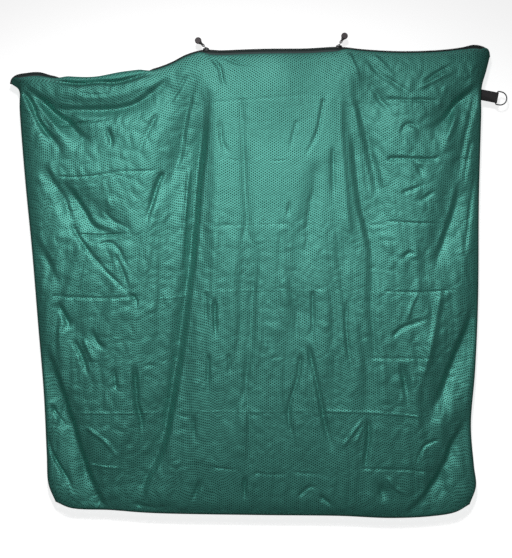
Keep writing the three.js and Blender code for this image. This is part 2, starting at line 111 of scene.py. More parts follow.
MAIN_FOLDS = [
    Fold("roll below the zip", [(-530, -95), (-400, -118), (-270, -76)], 18, -9),
    Fold("upper swag", [(-510, -125), (-410, -142), (-300, -118), (-210, -55)], 18, 10),
    Fold("second swag", [(-500, -150), (-400, -172), (-255, -110)], 16, -5),
    Fold("left corner", [(-577, -110), (-505, -160), (-445, -212), (-395, -255)], 20, 13),
    Fold("left corner ridge", [(-550, -140), (-505, -190), (-455, -265)], 18, -7),
    Fold("left rim", [(-560, -165), (-530, -210), (-490, -285)], 18, 9),
    Fold("left flank", [(-510, -310), (-435, -375), (-365, -420), (-315, -436)], 24, 12),
    Fold("left flank far arm", [(-255, -290), (-280, -355), (-312, -432)], 16, 8),
    Fold("left waist", [(-540, -335), (-470, -420), (-400, -508)], 20, 8),
    Fold("left outer fan", [(-225, -70), (-268, -157), (-310, -245)], 18, 7),
    Fold("left fan", [(-180, -50), (-206, -180), (-234, -360), (-253, -510)], 18, 7),
    Fold("left fall", [(-158, -80), (-165, -330), (-205, -690), (-275, -1020)], 24, 11),
    Fold("left fall ridge", [(-142, -50), (-135, -335), (-142, -600)], 20, -7),
    Fold("left fall far ridge", [(-208, -335), (-230, -600), (-270, -885)], 22, -7),
    Fold("middle fall", [(-75, -215), (-55, -480), (-58, -770), (-96, -945)], 20, 7),
    Fold("middle right fall", [(108, -260), (72, -450), (40, -760), (36, -980)], 18, 7),
    Fold("right inner fall", [(144, -240), (143, -360), (163, -575), (175, -720)], 18, 6),
    Fold("right fall", [(168, -110), (200, -400), (232, -715), (223, -955)], 20, 10),
    Fold("right fall ridge", [(184, -35), (207, -310), (226, -420)], 16, -6),
    Fold("right fan", [(178, -60), (202, -192), (239, -383), (258, -460)], 22, 10),
    Fold("right outer fan", [(196, -50), (244, -129), (300, -205)], 18, 10),
    Fold("right corner", [(489, -92), (434, -131), (387, -174), (330, -200)], 22, 15),
    Fold("right corner ridge", [(465, -132), (422, -195), (406, -280)], 18, -9),
    Fold("right flank", [(456, -193), (422, -348), (382, -478), (346, -588)], 26, 13),
    Fold("right flank ridge", [(446, -288), (413, -443), (375, -635)], 18, -6),
    Fold("right waist", [(439, -655), (406, -800), (363, -885), (332, -980)], 22, 12),
    Fold("right waist ridge", [(375, -645), (353, -765), (336, -860)], 20, -7),
    Fold("lower right", [(465, -823), (422, -938), (375, -1038), (342, -1097)], 24, 18),
    Fold("lower left", [(-513, -776), (-475, -900), (-430, -1014), (-396, -1092)], 24, 18),
    Fold("lower left rim", [(-534, -895), (-506, -990), (-470, -1066)], 18, 9),
    Fold("left hip", [(-506, -597), (-458, -688), (-430, -776)], 20, 8),
    Fold("left lower fall", [(-327, -764), (-315, -871), (-296, -975)], 18, 6),
]

FINE_FOLDS = [
    Fold("foot of the rolled zip", [(-545, -68), (-494, -81), (-458, -86), (-415, -81), (-375, -83),
         (-339, -76), (-292, -62), (-250, -62)], 7, 10),
    Fold("line below the roll", [(-458, -109), (-411, -114), (-358, -105)], 4, 3),
    Fold("upper swag line", [(-541, -114), (-506, -138), (-458, -143), (-415, -143), (-363, -140),
         (-322, -128), (-287, -102), (-261, -81), (-237, -62), (-201, -33)], 26, 9),
    Fold("nose tuck", [(-590, -80), (-570, -100), (-537, -126), (-506, -157), (-477, -176), (-458, -198),
         (-434, -217), (-415, -236)], 24, 13),
    Fold("nose ridge", [(-570, -117), (-537, -157), (-513, -188), (-477, -228)], 10, -5),
    Fold("left rim line", [(-596, -98), (-572, -129), (-558, -164), (-537, -198), (-513, -224),
         (-490, -265)], 7, 10),
    Fold("tooth", [(-393, -182), (-382, -217), (-377, -242)], 8, 6),
    Fold("line to the tooth", [(-506, -186), (-465, -181), (-415, -174), (-358, -164)], 4, 3),
    Fold("outer swag", [(-541, -269), (-525, -295), (-506, -328), (-489, -355), (-477, -388), (-463, -419),
         (-448, -442)], 18, 7),
    Fold("inner swag", [(-506, -312), (-477, -331), (-458, -359), (-439, -388), (-418, -419), (-375, -433),
         (-334, -434)], 25, 13),
    Fold("swag upper line", [(-399, -383), (-380, -407), (-358, -419), (-330, -433)], 4, 4),
    Fold("swag facet", [(-390, -350), (-385, -370), (-378, -395)], 7, -4),
    Fold("swag far arm", [(-256, -290), (-273, -328), (-287, -378), (-303, -426)], 7, 7),
    Fold("left hollow", [(-558, -438), (-546, -466), (-525, -502), (-506, -545), (-497, -575)], 26, 7, 1.2),
    Fold("line below the swag", [(-477, -412), (-458, -447), (-442, -471), (-415, -502),
         (-395, -512)], 6, 6),
    Fold("curl", [(-411, -466), (-382, -462), (-363, -478), (-346, -509), (-322, -545)], 5, 4),
    Fold("first line to the knot", [(-425, -495), (-375, -546), (-326, -592)], 5, 4),
    Fold("second line to the knot", [(-372, -485), (-349, -540), (-332, -585)], 5, 4),
    Fold("knot", [(-344, -578), (-322, -597), (-322, -626)], 5, 5),
    Fold("left slider, slant", [(-200, -60), (-215, -90), (-239, -126), (-268, -157)], 7, 2.6),
    Fold("left slider, ray", [(-176, -20), (-189, -121), (-201, -169), (-208, -212), (-215, -259),
         (-227, -293), (-244, -347), (-256, -395)], 30, 5, 1.3),
    Fold("left slider, outer ray", [(-270, -155), (-284, -181), (-299, -212), (-313, -250)], 7, 2.4),
    Fold("left fall line", [(-150, -80), (-156, -157), (-160, -220), (-170, -307), (-175, -366),
         (-180, -431), (-187, -502), (-199, -597), (-208, -669), (-218, -740), (-225, -788), (-236, -850),
         (-253, -931), (-270, -978), (-294, -1026), (-306, -1075), (-330, -1160),
         (-355, -1250)], 60, 19, 0.9, 17),
    Fold("left fall ridge line", [(-196, -276), (-203, -359), (-208, -419), (-213, -490),
         (-215, -530)], 7, -4),
    Fold("left slider, third ray", [(-144, -26), (-125, -50), (-118, -81), (-108, -105)], 5, 4),
    Fold("left slider, low ray", [(-130, -18), (-118, -23), (-78, -40), (-28, -44)], 4, 3),
    Fold("middle left dip", [(-125, -164), (-118, -228), (-101, -259)], 8, 2.5),
    Fold("middle dip", [(-77, -110), (-70, -228), (-65, -347), (-61, -407), (-70, -455),
         (-77, -520)], 9, 2),
    Fold("middle slant", [(122, -115), (113, -164), (106, -198), (89, -236), (68, -272)], 5, 3),
    Fold("middle thin slant", [(58, -172), (49, -205), (36, -262)], 4, 2),
    Fold("middle hook", [(42, -360), (38, -385), (32, -402)], 5, 2.5),
    Fold("middle right groove", [(96, -255), (94, -328), (84, -366), (77, -419), (77, -459), (70, -497),
         (68, -560)], 30, 3),
    Fold("right inner line", [(142, -230), (142, -307), (144, -380)], 7, 3),
    Fold("right inner lower line", [(161, -395), (163, -459), (165, -507), (160, -560)], 24, 3),
    Fold("right slider ridge", [(176, -8), (196, -55), (208, -90)], 5, -4),
    Fold("right fan groove", [(180, -35), (189, -109), (201, -157), (215, -212), (227, -269), (239, -328),
         (251, -388), (263, -438), (276, -500)], 40, 7, 1.3, 14),
    Fold("right fall groove", [(170, -130), (184, -212), (189, -269), (196, -328), (203, -378), (215, -426),
         (225, -486), (226, -545), (225, -620), (232, -710)], 40, 8, 1.2, 14),
    Fold("ridge between the right falls", [(192, -135), (203, -240), (213, -336), (224, -410)], 9, -1.5),
    Fold("ridge right of the falls", [(237, -230), (251, -276), (263, -324), (272, -385)], 9, -1.5),
    Fold("ridge left of the falls", [(161, -110), (163, -217), (170, -312), (175, -383), (184, -443),
         (196, -520)], 9, -1.5),
    Fold("right slider, second ray", [(205, -62), (232, -98), (249, -126), (275, -157),
         (302, -204)], 24, 6),
    Fold("right slider, third ray", [(215, -20), (256, -67), (287, -86), (320, -109), (350, -128)], 8, 3.5),
    Fold("right slider, third ridge", [(236, -16), (268, -50), (290, -78)], 4, -3),
    Fold("right corner groove", [(504, -66), (482, -86), (458, -105), (430, -129), (410, -157), (380, -184),
         (345, -198)], 36, 15, 1.0, 12),
    Fold("right corner ridge line", [(441, -115), (427, -169), (410, -217), (396, -250)], 11, -5),
    Fold("right long groove, top", [(490, -88), (465, -169), (446, -252), (434, -345)], 9, 3),
    Fold("right long groove", [(440, -300), (434, -336), (420, -395), (399, -455), (380, -507),
         (362, -580)], 38, 12, 1.0, 12),
    Fold("right rim line", [(470, -217), (458, -276), (450, -345)], 5, 2.5),
    Fold("right rim second line", [(482, -288), (470, -359), (461, -431), (449, -515)], 5, 2.5),
    Fold("right corner ray", [(352, -88), (391, -60), (440, -34)], 6, 4),
    Fold("right corner ray ridge", [(340, -100), (388, -76), (440, -50)], 6, -3),
    Fold("right curl", [(299, -210), (315, -183), (339, -190), (346, -205)], 5, 4),
    Fold("right nick", [(300, -347), (330, -336), (366, -322)], 5, 4),
    Fold("right second nick", [(345, -366), (365, -352), (388, -336)], 5, 4),
    Fold("right dimple", [(325, -270), (345, -285), (355, -312)], 10, 5),
    Fold("right hook", [(305, -497), (322, -486), (342, -491)], 4, 4),
    Fold("lower left lip", [(-549, -674), (-525, -721), (-511, -764), (-494, -812), (-482, -852),
         (-465, -902), (-451, -954), (-434, -1002), (-415, -1045), (-390, -1092), (-360, -1150),
         (-330, -1200)], 42, 15, 1.2, 13),
    Fold("lower left rim line", [(-534, -915), (-522, -959), (-501, -997), (-482, -1026),
         (-468, -1060)], 5, 9),
    Fold("lower left dent", [(-528, -840), (-506, -876), (-484, -904)], 6, 6),
    Fold("left hip, upper", [(-508, -600), (-489, -638), (-475, -670)], 8, 8),
    Fold("left hip, lower", [(-472, -685), (-454, -721), (-442, -752), (-432, -782)], 7, 7),
    Fold("left hip ridge", [(-501, -655), (-502, -690), (-501, -730)], 7, -4),
    Fold("left hip second ridge", [(-451, -681), (-430, -721), (-418, -758)], 7, -5),
    Fold("left hip hollow", [(-430, -660), (-411, -700), (-378, -718)], 8, 6),
    Fold("left upright nick", [(-375, -752), (-370, -793), (-367, -812)], 6, 6),
    Fold("lower left upright", [(-328, -745), (-322, -795), (-320, -843), (-311, -878), (-308, -914),
         (-298, -960)], 8, 8),
    Fold("lower left glint", [(-446, -893), (-415, -914), (-394, -931), (-375, -954), (-356, -976)], 5, -4),
    Fold("lower left foot", [(-168, -1015), (-180, -1050), (-193, -1078)], 8, 6),
    Fold("first ripple", [(-158, -574), (-156, -657)], 4, 4),
    Fold("second ripple", [(-137, -590), (-134, -700)], 7, 6),
    Fold("third ripple", [(-151, -722), (-153, -828)], 5, 5),
    Fold("fourth ripple", [(-103, -720), (-101, -780)], 5, 4),
    Fold("fifth ripple", [(-187, -865), (-184, -936)], 6, 5),
    Fold("middle fall groove", [(-27, -415), (-34, -502), (-42, -575), (-46, -616), (-49, -669),
         (-58, -716), (-58, -757), (-65, -816), (-82, -854), (-94, -895), (-103, -930)], 30, 3.5),
    Fold("hem upright", [(-65, -1008), (-66, -1040), (-65, -1075)], 6, 6),
    Fold("middle right groove, lower", [(65, -545), (58, -597), (54, -645), (46, -704)], 30, 3.2),
    Fold("middle right foot", [(67, -715), (58, -783), (42, -835), (37, -878), (46, -919),
         (45, -972)], 7, 4),
    Fold("second right foot", [(82, -700), (96, -759), (108, -816), (118, -866), (125, -902), (137, -942),
         (146, -972)], 7, 5, 1.3),
    Fold("right ripple", [(94, -570), (94, -698)], 5, 4),
    Fold("right fall foot", [(226, -860), (225, -931), (218, -978), (222, -1000)], 8, 5.5),
    Fold("right fall side", [(177, -592), (173, -657), (177, -704), (184, -752), (193, -806)], 7, 3.5),
    Fold("lower right glint", [(163, -946), (184, -914), (204, -888), (215, -873)], 4, -4),
    Fold("lower right second glint", [(194, -938), (206, -910), (216, -890)], 4, -3),
    Fold("right hip mark", [(280, -686), (303, -664), (339, -650), (374, -638)], 6, 5),
    Fold("right hip ray", [(315, -645), (332, -597), (347, -572)], 4, -4),
    Fold("right waist hollow", [(299, -740), (310, -790), (315, -845)], 14, 7),
    Fold("right hip groove", [(484, -560), (470, -609), (456, -657), (437, -704), (420, -745), (406, -783),
         (391, -819), (377, -854), (358, -895)], 42, 15, 1.3, 14),
    Fold("right hip ridge", [(399, -565), (387, -621), (375, -693), (363, -740), (346, -800),
         (338, -855)], 11, -5),
    Fold("lower right groove", [(468, -840), (451, -878), (434, -912), (418, -942), (406, -973),
         (391, -1007), (370, -1038), (346, -1069), (318, -1096), (285, -1150),
         (250, -1200)], 45, 11, 1.3, 12),
    Fold("lower right mark", [(394, -924), (356, -942), (344, -966), (333, -995)], 4, 5),
    Fold("left hem dent", [(-330, -1080), (-280, -1088), (-230, -1082)], 7, 4),
    Fold("middle hem dent", [(106, -1055), (125, -1070), (146, -1088)], 6, 6),
    Fold("hem hollow", [(252, -1022), (256, -1050), (260, -1080)], 14, 7),
    Fold("hem ridge", [(266, -1010), (292, -1042), (324, -1058)], 5, -4),
    Fold("lower middle mark", [(58, -1064), (72, -1050), (84, -1038), (115, -1040)], 5, 4),
]

# Creases from being packed flat
PACKING_CREASES = [
    Fold("first crease", [(-156, -133), (-77, -127), (-6, -122), (65, -115), (150, -115)], 2.8, 1.1),
    Fold("first crease, right", [(268, -121), (320, -123), (410, -125)], 6, 6),
    Fold("second crease, left", [(-506, -305), (-458, -306), (-411, -302), (-358, -293), (-322, -293),
         (-244, -288)], 3.5, 2.6),
    Fold("second crease, inner left", [(-108, -262), (-90, -268), (-72, -270)], 2.8, 1.0),
    Fold("second crease, middle", [(-4, -269), (16, -269), (40, -265)], 2.8, 1.2),
    Fold("second crease, right", [(268, -260), (315, -260), (375, -262), (396, -256)], 7, 8),
    Fold("third crease, left", [(-455, -440), (-400, -442), (-334, -437)], 5, 5),
    Fold("third crease, middle", [(-180, -424), (-60, -420), (60, -416)], 2.8, 0.6),
    Fold("third crease, right", [(270, -410), (340, -414), (400, -415)], 4, 3),
    Fold("fourth crease, left", [(-520, -585), (-482, -587), (-411, -590), (-340, -588),
         (-300, -584)], 5, 3),
    Fold("fourth crease, inner left", [(-280, -594), (-220, -590), (-173, -578), (-122, -574)], 2.8, -0.8),
    Fold("fourth crease, middle", [(-110, -576), (0, -574), (150, -576)], 2.8, -0.6),
    Fold("fourth crease, right", [(262, -574), (351, -576), (450, -569)], 5, 2.5),
    Fold("fifth crease, left", [(-415, -728), (-375, -727), (-335, -723)], 2.8, 1.3),
    Fold("fifth crease, middle", [(-34, -692), (-15, -691), (6, -692)], 2.8, -1.2),
    Fold("fifth crease, right", [(230, -731), (330, -732), (415, -731)], 5, 2),
    Fold("sixth crease, left", [(-465, -862), (-370, -863), (-255, -862)], 3.5, -2),
    Fold("sixth crease, middle", [(-206, -858), (-60, -860), (110, -857)], 2.8, -0.9),
    Fold("sixth crease, right", [(118, -857), (237, -861), (303, -866), (358, -872)], 3.5, -2.6),
    Fold("seventh crease, left", [(-430, -984), (-401, -988), (-335, -993)], 4, -3),
    Fold("seventh crease, inner left", [(-250, -979), (-230, -979), (-205, -979)], 2.8, -1.3),
    Fold("seventh crease, middle left", [(-144, -988), (-112, -993), (-80, -996)], 4, 2.6),
    Fold("seventh crease, middle", [(-46, -1001), (0, -1006), (40, -1006)], 4, 2.8),
    Fold("seventh crease, middle right", [(48, -1000), (90, -1004), (122, -1005)], 4, 2.4),
    Fold("seventh crease, right", [(205, -992), (268, -993), (327, -996), (388, -1003)], 5, 2.2),
    Fold("upper upright crease", [(-63, -122), (-63, -170), (-64, -210)], 5, 1.4),
    Fold("left upright crease", [(-322, -620), (-323, -690), (-322, -748)], 5, -1.4),
    Fold("lower upright crease", [(-51, -855), (-51, -930), (-52, -1000)], 5, 2.4),
    Fold("lower upright ridge", [(-61, -855), (-61, -930), (-62, -1000)], 5, -2.0),
]
CREASE_ROWS = (0.114, 0.236, 0.368, 0.515, 0.66, 0.776, 0.893)  # shares of the height
CROWDING = 0.006, 1.6  # how far and how much the rows of faces crowd there

BACK_FOLDS = [
    Fold("back left fall", [(-165, -60), (-200, -480), (-250, -960)], 40, 5),
    Fold("back right fall", [(165, -60), (215, -480), (240, -960)], 40, 5),
    Fold("back left corner", [(-560, -130), (-440, -280), (-380, -420)], 36, 4),
    Fold("back right corner", [(470, -120), (390, -260), (340, -420)], 36, 4),
    Fold("back middle line", [(-20, -200), (10, -520), (-15, -860)], 22, 3),
    Fold("back left line", [(-330, -300), (-350, -560), (-330, -900)], 20, 3),
    Fold("back right line", [(330, -320), (345, -600), (330, -920)], 20, 3),
    Fold("back fourth crease", [(-500, -590), (-100, -578), (420, -574)], 2.6, -1.2),
    Fold("back second crease", [(-500, -300), (-100, -278), (420, -268)], 2.6, -1.0),
    Fold("back sixth crease", [(-480, -864), (-60, -860), (400, -866)], 2.6, -1.2),
]


def linear(hex_code):
    """Turns an sRGB hex colour into linear red, green and blue."""
    shares = [int(hex_code[i:i + 2], 16) / 255 for i in (0, 2, 4)]
    return tuple(s / 12.92 if s <= 0.04045 else ((s + 0.055) / 1.055) ** 2.4 for s in shares)


def colour_property(name, description, hex_code):
    return FloatVectorProperty(name=name, description=description, subtype="COLOR", size=3, min=0, max=1,
                               default=linear(hex_code))


def length_property(name, description, millimetres):
    return FloatProperty(name=name, description=description, unit="LENGTH", subtype="DISTANCE", precision=5,
                         min=0, default=millimetres * MM)


def count_property(name, description, count):
    return IntProperty(name=name, description=description, default=count, min=32)


class SackClothSettings(bpy.types.PropertyGroup):
    """Sizes and colours of the two net panels."""

    hole_across: length_property("Pitch across", "Distance between two holes in one row", 9.4)
    hole_down: length_property("Pitch down", "Distance between a row of holes and the next but one", 6.1)
    hole_width: length_property("Hole width", "Width of a hole", 2.6)
    cover: FloatProperty(name="Cover", default=0.92, min=0, max=1,
                         description="Share of the light that the sheer net stops between its holes")
    hem: length_property("Hem", "Depth of the hem without holes along the zip", 5)
    seam: length_property("Seam", "Width of the strip without holes along the side and bottom seams", 6)
    columns: count_property("Columns", "Columns of faces in the front panel", 300)
    rows: count_property("Rows", "Rows of faces in the front panel", 328)
    back_faces: count_property("Back", "Columns, and rows, of faces in the back panel", 150)
    colour: colour_property("Net", "Colour of the net's bundles of thread", "66c2b3")
    # Painted shade: the net is coloured darker at the edge of each hole, fading out along the thread
    shade: colour_property("Net, edges", "Colour of the net at the edge of a hole", "55a999")
    # Painted shade: the net's inner face is coloured darker than its outer one, for the shade inside the sack
    inside: colour_property("Net, inside", "Colour of the net's inner face, lit through the net", "449f8e")
    sewn: colour_property("Net, seams", "Colour of the net where it is sewn double", "56a192")
    thread: colour_property("Thread", "Colour of the sewing thread", "1f4a43")


class SackZipSettings(bpy.types.PropertyGroup):
    """Sizes and colours of the zip."""

    coil_pitch: length_property("Coil pitch", "Distance between two turns of the coil", 1.6)
    coil_wire: length_property("Coil wire", "Radius of the coil's filament", 0.38)
    tape_thickness: length_property("Tape", "Thickness of the zip's tape", 0.9)
    coil: colour_property("Coil", "Colour of the zip's coil", "25292a")
    tape: colour_property("Tape colour", "Colour of the zip's tape beside the coil", "3f4d4c")
    # Painted sheen: the lower band of the tape is coloured lighter, as if it caught the light
    sheen_band: colour_property("Tape border", "Colour of the rest of the zip's tape", "5e7070")
    sheen_band_from: length_property("Border from", "Distance of the border from the coil", 6.5)


class SackFittingSettings(bpy.types.PropertyGroup):
    """Colours of the sliders, pulls, tab and ring."""

    slider: colour_property("Slider", "Colour of the painted sliders", "1b1d1f")
    link: colour_property("Links", "Colour of the dark wire links", "3c3d3f")
    wire: colour_property("Ring", "Colour of the plated ring", "7c7e80")
    knob: colour_property("Pull", "Colour of the head of a pull", "6a5f62")
    shank: colour_property("Shank", "Colour of the shank and rim of a pull", "161314")
    webbing: colour_property("Webbing", "Colour of the webbing tab", "545153")


class SackStageSettings(bpy.types.PropertyGroup):
    """The view and the light."""

    camera_distance: length_property("Camera distance", "Distance of the camera from the zip's plane", 2600)
    lens: FloatProperty(name="Lens", description="Focal length of the camera", default=70.5, min=1,
                        subtype="DISTANCE_CAMERA")
    key_power: FloatProperty(name="Key light", description="Power of the light above the front", default=100,
                             min=0, unit="POWER")
    wall_gap: length_property("Wall", "Distance of the wall behind the zip's plane", 29)
    floor_drop: length_property("Floor", "Distance of the floor below the zip", 1300)


def eased(value, start, end):
    """Rises softly from 0 at start to 1 at end."""
    share = np.clip((value - start) / (end - start), 0, 1)
    return share * share * (3 - 2 * share)


def spline(points, steps=16):
    """Points along the centripetal curve through the given points."""
    p = np.array(points, dtype=float)
    p = np.vstack([2 * p[0] - p[1], p, 2 * p[-1] - p[-2]])
    gaps = np.linalg.norm(np.diff(p, axis=0), axis=1) ** 0.5
    t = np.linspace(0, 1, steps, endpoint=False)[:, None]
    spans = []
    for i in range(1, len(p) - 2):
        before, here, after = gaps[i - 1:i + 2]
        step = p[i + 1] - p[i]
        leave = ((p[i] - p[i - 1]) / before - (p[i + 1] - p[i - 1]) / (before + here) + step / here) * here
        arrive = (step / here - (p[i + 2] - p[i]) / (here + after) + (p[i + 2] - p[i + 1]) / after) * here
        spans.append((2 * t**3 - 3 * t**2 + 1) * p[i] + (t**3 - 2 * t**2 + t) * leave
                     + (3 * t**2 - 2 * t**3) * p[i + 1] + (t**3 - t**2) * arrive)
    return np.vstack([*spans, p[-2:-1]])


class Edge:
    """A curved edge of the cloth, read at shares of its length."""

    def __init__(self, points):
        self.points = spline(points)
        steps = np.linalg.norm(np.diff(self.points, axis=0), axis=1)
        self.length = steps.sum()
        self.shares = np.concatenate([[0], np.cumsum(steps)]) / self.length

    def at(self, share):
        return np.stack([np.interp(share, self.shares, part) for part in self.points.T], axis=-1)

    def along(self, share):
        ahead = self.at(np.minimum(share + 0.002, 1)) - self.at(np.maximum(share - 0.002, 0))
        return ahead / np.linalg.norm(ahead, axis=-1, keepdims=True)

    def share_at(self, x):
        return np.interp(x, self.points[:, 0], self.shares)


top = Edge(TOP_EDGE)


def rolled(x):
    """1 where the front cloth is rolled up over the zip, 0 where the zip shows."""
    begins = eased(x, ROLLED_FROM, ROLLED_FROM + ROLLED_EASE)
    return begins * (1 - eased(x, ROLLED_TO - ROLLED_EASE, ROLLED_TO))


def inwards(share):
    """The direction into the sack, in its plane, at a share of the top edge."""
    along = top.along(share)
    return np.stack([along[..., 1], -along[..., 0]], axis=-1)


def reveal(x):
    """Depth of zip that shows above the cloth.

    It is most at the mouth and near the corners, little at their tips, and none where cloth is rolled over.
    """
    mouth = 1 - eased(np.abs(x), SLIDER_X - 15, SLIDER_X + 20)
    corners = 1 - eased(x, *LEFT_CORNER) + eased(x, *RIGHT_CORNER)
    tips = LEFT_TIP_HIDDEN * (1 - eased(x, *LEFT_TIP)) + RIGHT_TIP_HIDDEN * eased(x, *RIGHT_TIP)
    return (ZIP_REVEAL + MOUTH_REVEAL * mouth + CORNER_REVEAL * corners) * (1 - rolled(x)) * (1 - tips)


def cloth_top(share):
    point = top.at(share)
    return point + inwards(share) * reveal(point[..., :1])


def coil_line(share):
    point = top.at(share)
    return point + inwards(share) * (COIL_RADIUS + ROLLED_DROP * rolled(point[..., :1]))


def coil_offset(x):
    """Distance of each coil from the plane between the two halves of the zip."""
    across = np.abs(x)
    at_slider = SLIDER_POST + FIT + COIL_RADIUS
    closed = COIL_RADIUS + FIT / 2
    mouth_end = SLIDER_X - SLIDER_STRAIGHT
    opened = np.cos(np.pi / 2 * np.minimum(across / mouth_end, 1)) ** 2
    closing = eased(across, SLIDER_X + SLIDER_STRAIGHT, SLIDER_X + SLIDER_STRAIGHT + SLIDER_EASE)
    return at_slider + (MOUTH_HALF - at_slider) * opened + (closed - at_slider) * closing


left = Edge([tuple(cloth_top(np.float64(0))), *LEFT_EDGE])
right = Edge([tuple(cloth_top(np.float64(1))), *RIGHT_EDGE])
bottom = Edge(BOTTOM_EDGE)


class Places(NamedTuple):
    """Points of the spread cloth, and how far they are from its edges."""

    x: np.ndarray
    z: np.ndarray
    from_top: np.ndarray
    from_bottom: np.ndarray
    from_left: np.ndarray
    from_right: np.ndarray


def spread(u, v):
    """Spreads the cloth between its four edges."""
    u, v = u[:, None], v[:, None]
    upper, lower = cloth_top(u[:, 0]), bottom.at(u[:, 0])
    first, last = left.at(v[:, 0]), right.at(v[:, 0])
    corners = left.at(0), right.at(0), left.at(1), right.at(1)
    point = (1 - v) * upper + v * lower + (1 - u) * first + u * last
    point -= (1 - u) * (1 - v) * corners[0] + u * (1 - v) * corners[1]
    point -= (1 - u) * v * corners[2] + u * v * corners[3]
    x, z = point.T
    return Places(x, z, upper[:, 1] - z, z - lower[:, 1], x - first[:, 0], last[:, 0] - x)


def rise(distance, reach):
    """Quarter-round rise from an edge, 0 at the edge and 1 from reach inwards."""
    return np.sqrt(1 - (1 - np.clip(distance / reach, 0, 1)) ** 2)


def rise_from_seams(places, reach):
    return rise(places.from_left, reach) * rise(places.from_right, reach) * rise(places.from_bottom, reach)


ZIP_HELD = (2 * TAPE_DEPTH, 14 * TAPE_DEPTH)  # distances in which the cloth comes away from the zip
TAB_HELD_DOWN = (WEBBING_WIDE, 3 * WEBBING_WIDE)  # the same for the tab
TAB_HELD_ACROSS = (2 * TAB_SEWN_IN, 6 * TAB_SEWN_IN)


def seat(places):
    """Distance of a panel from the seam plane where it is sewn to the zip, the tab or the other panel."""
    seam_seat = FIT / 2 + SHEET_ROOM / 2
    zip_seat = coil_offset(places.x) + TAPE + FIT + SHEET_ROOM / 2
    at_zip = 1 - eased(places.from_top, *ZIP_HELD)
    beside_tab = 1 - eased(np.abs(places.z - TAB_ROOT_Z), *TAB_HELD_DOWN)
    at_tab = beside_tab * (1 - eased(places.from_right, *TAB_HELD_ACROSS))
    return seam_seat + (zip_seat - seam_seat) * at_zip + (TAB_PRESSED + FIT / 2) * at_tab


CREASE_STEP = 2.5  # width of the steep side of a crease
SOFT_REACH, CRISP_REACH = 3.2, 2.0  # how far a fold is felt, in its widths
MOST_UNEVEN = 0.8  # most by which the steep side of a fold is narrowed
FOLD_STEPS = 6  # steps of a fold's path between two of its points
SIDE_TURN = 200  # weight of a level run, against the distance from the zip's middle of an upright one
BEGINS_OVER, ENDS_OVER = 3, 18  # a fold begins over so many of its widths, and ends over so many steep sides


def beside_path(path, points):
    """For each point, its distance from a path, positive to the path's left, and its share along the path."""
    distance = np.full(len(points), np.inf)
    along, side = np.zeros((2, len(points)))
    for i, (start, end) in enumerate(zip(path, path[1:])):
        step = end - start
        share = np.clip((points - start) @ step / (step @ step), 0, 1)
        off = points - start - share[:, None] * step
        away = np.hypot(*off.T)
        closer = away < distance
        distance = np.where(closer, away, distance)
        along = np.where(closer, (i + share) / (len(path) - 1), along)
        side = np.where(closer, np.sign(step[0] * off[:, 1] - step[1] * off[:, 0]), side)
    return side * distance, along


def pressed(folds, places, crisp=0.0):
    """How far the folds press each point in; crisp, from 0 to 1, is how much of a fold has straight sides.

    The steeper of the two straight sides lies along the path, on the side of the zip's middle.
    """
    total = np.zeros_like(places.x)
    for fold in folds:
        path = spline(fold.path, FOLD_STEPS)
        length = np.linalg.norm(np.diff(path, axis=0), axis=1).sum()
        creased = crisp == 1
        reach = (CRISP_REACH if creased else SOFT_REACH) * fold.wide * max(1, fold.grows)
        near = ((places.x > path[:, 0].min() - reach) & (places.x < path[:, 0].max() + reach)
                & (places.z > path[:, 1].min() - reach) & (places.z < path[:, 1].max() + reach))
        aside, along = beside_path(path, np.stack([places.x[near], places.z[near]], axis=-1))
        size = 1 + (fold.grows - 1) * along
        far = aside / (fold.wide * size)
        narrow = min(fold.wide, CREASE_STEP if creased else fold.step)
        uneven = np.clip(1 - narrow / (fold.wide * size), 0, MOST_UNEVEN)
        run, middle = path[-1] - path[0], path.mean(axis=0)
        keel = np.sign(SIDE_TURN * run[0] + run[1] * middle[0]) * uneven
        moved = far + np.sign(keel) * np.minimum(1.5 * uneven, (1 + uneven) / 2)
        straight = np.maximum(np.minimum((1 + moved) / (1 + keel), (1 - moved) / (1 - keel)), 0)
        profile = (1 - crisp) * np.exp(-far**2) + crisp * straight
        begins = min(0.5, BEGINS_OVER * (narrow if creased else fold.wide) / length)
        ends = min(0.5, ENDS_OVER * narrow / length)
        total[near] += fold.deep * size * eased(along, 0, begins) * (1 - eased(along, 1 - ends, 1)) * profile
    return total


CLOTH_MIDDLE = 20
TAUT_ACROSS, TAUT_DOWN, TAUT = (110, 230), (330, 450), 0.75  # the cloth below the mouth is pulled flatter
LOW_DOWN, FLANK_ACROSS = (300, 640), (150, 330)
FAN_OUT, SWAY = 0.0003, 18  # the ripples spread towards the bottom and sway from side to side
FACET, FLANK_FACET, SMALL_FACET = 1.9, 1.2, 0.8
RIPPLE, UPPER_RIPPLE, LOWER_RIPPLE, BROAD, BENT = 0.6, 0.6, 6.5, 1.2, 0.5
SWAY_SIZE, NARROW_SIZE, WIDE_SIZE = (120, 180), (22, 330), (47, 400)  # sizes across and down
BROAD_SIZE, BENT_SIZE, FACET_SIZE, SMALL_FACET_SIZE = (70, 85), (45, 45), (27, 36), (12, 15)


def uneven_at(x, z, size, layer):
    return noise.noise(Vector((x / size[0], z / size[1], layer)))


def facet_at(x, z, size, moved, layer):
    """Height of a facet of crumpled cloth, most at its middle, moved by shares of its size."""
    place = Vector((x / size[0] + moved[0], z / size[1] + moved[1], layer))
    first, second = noise.voronoi(place)[0][:2]
    return second - first


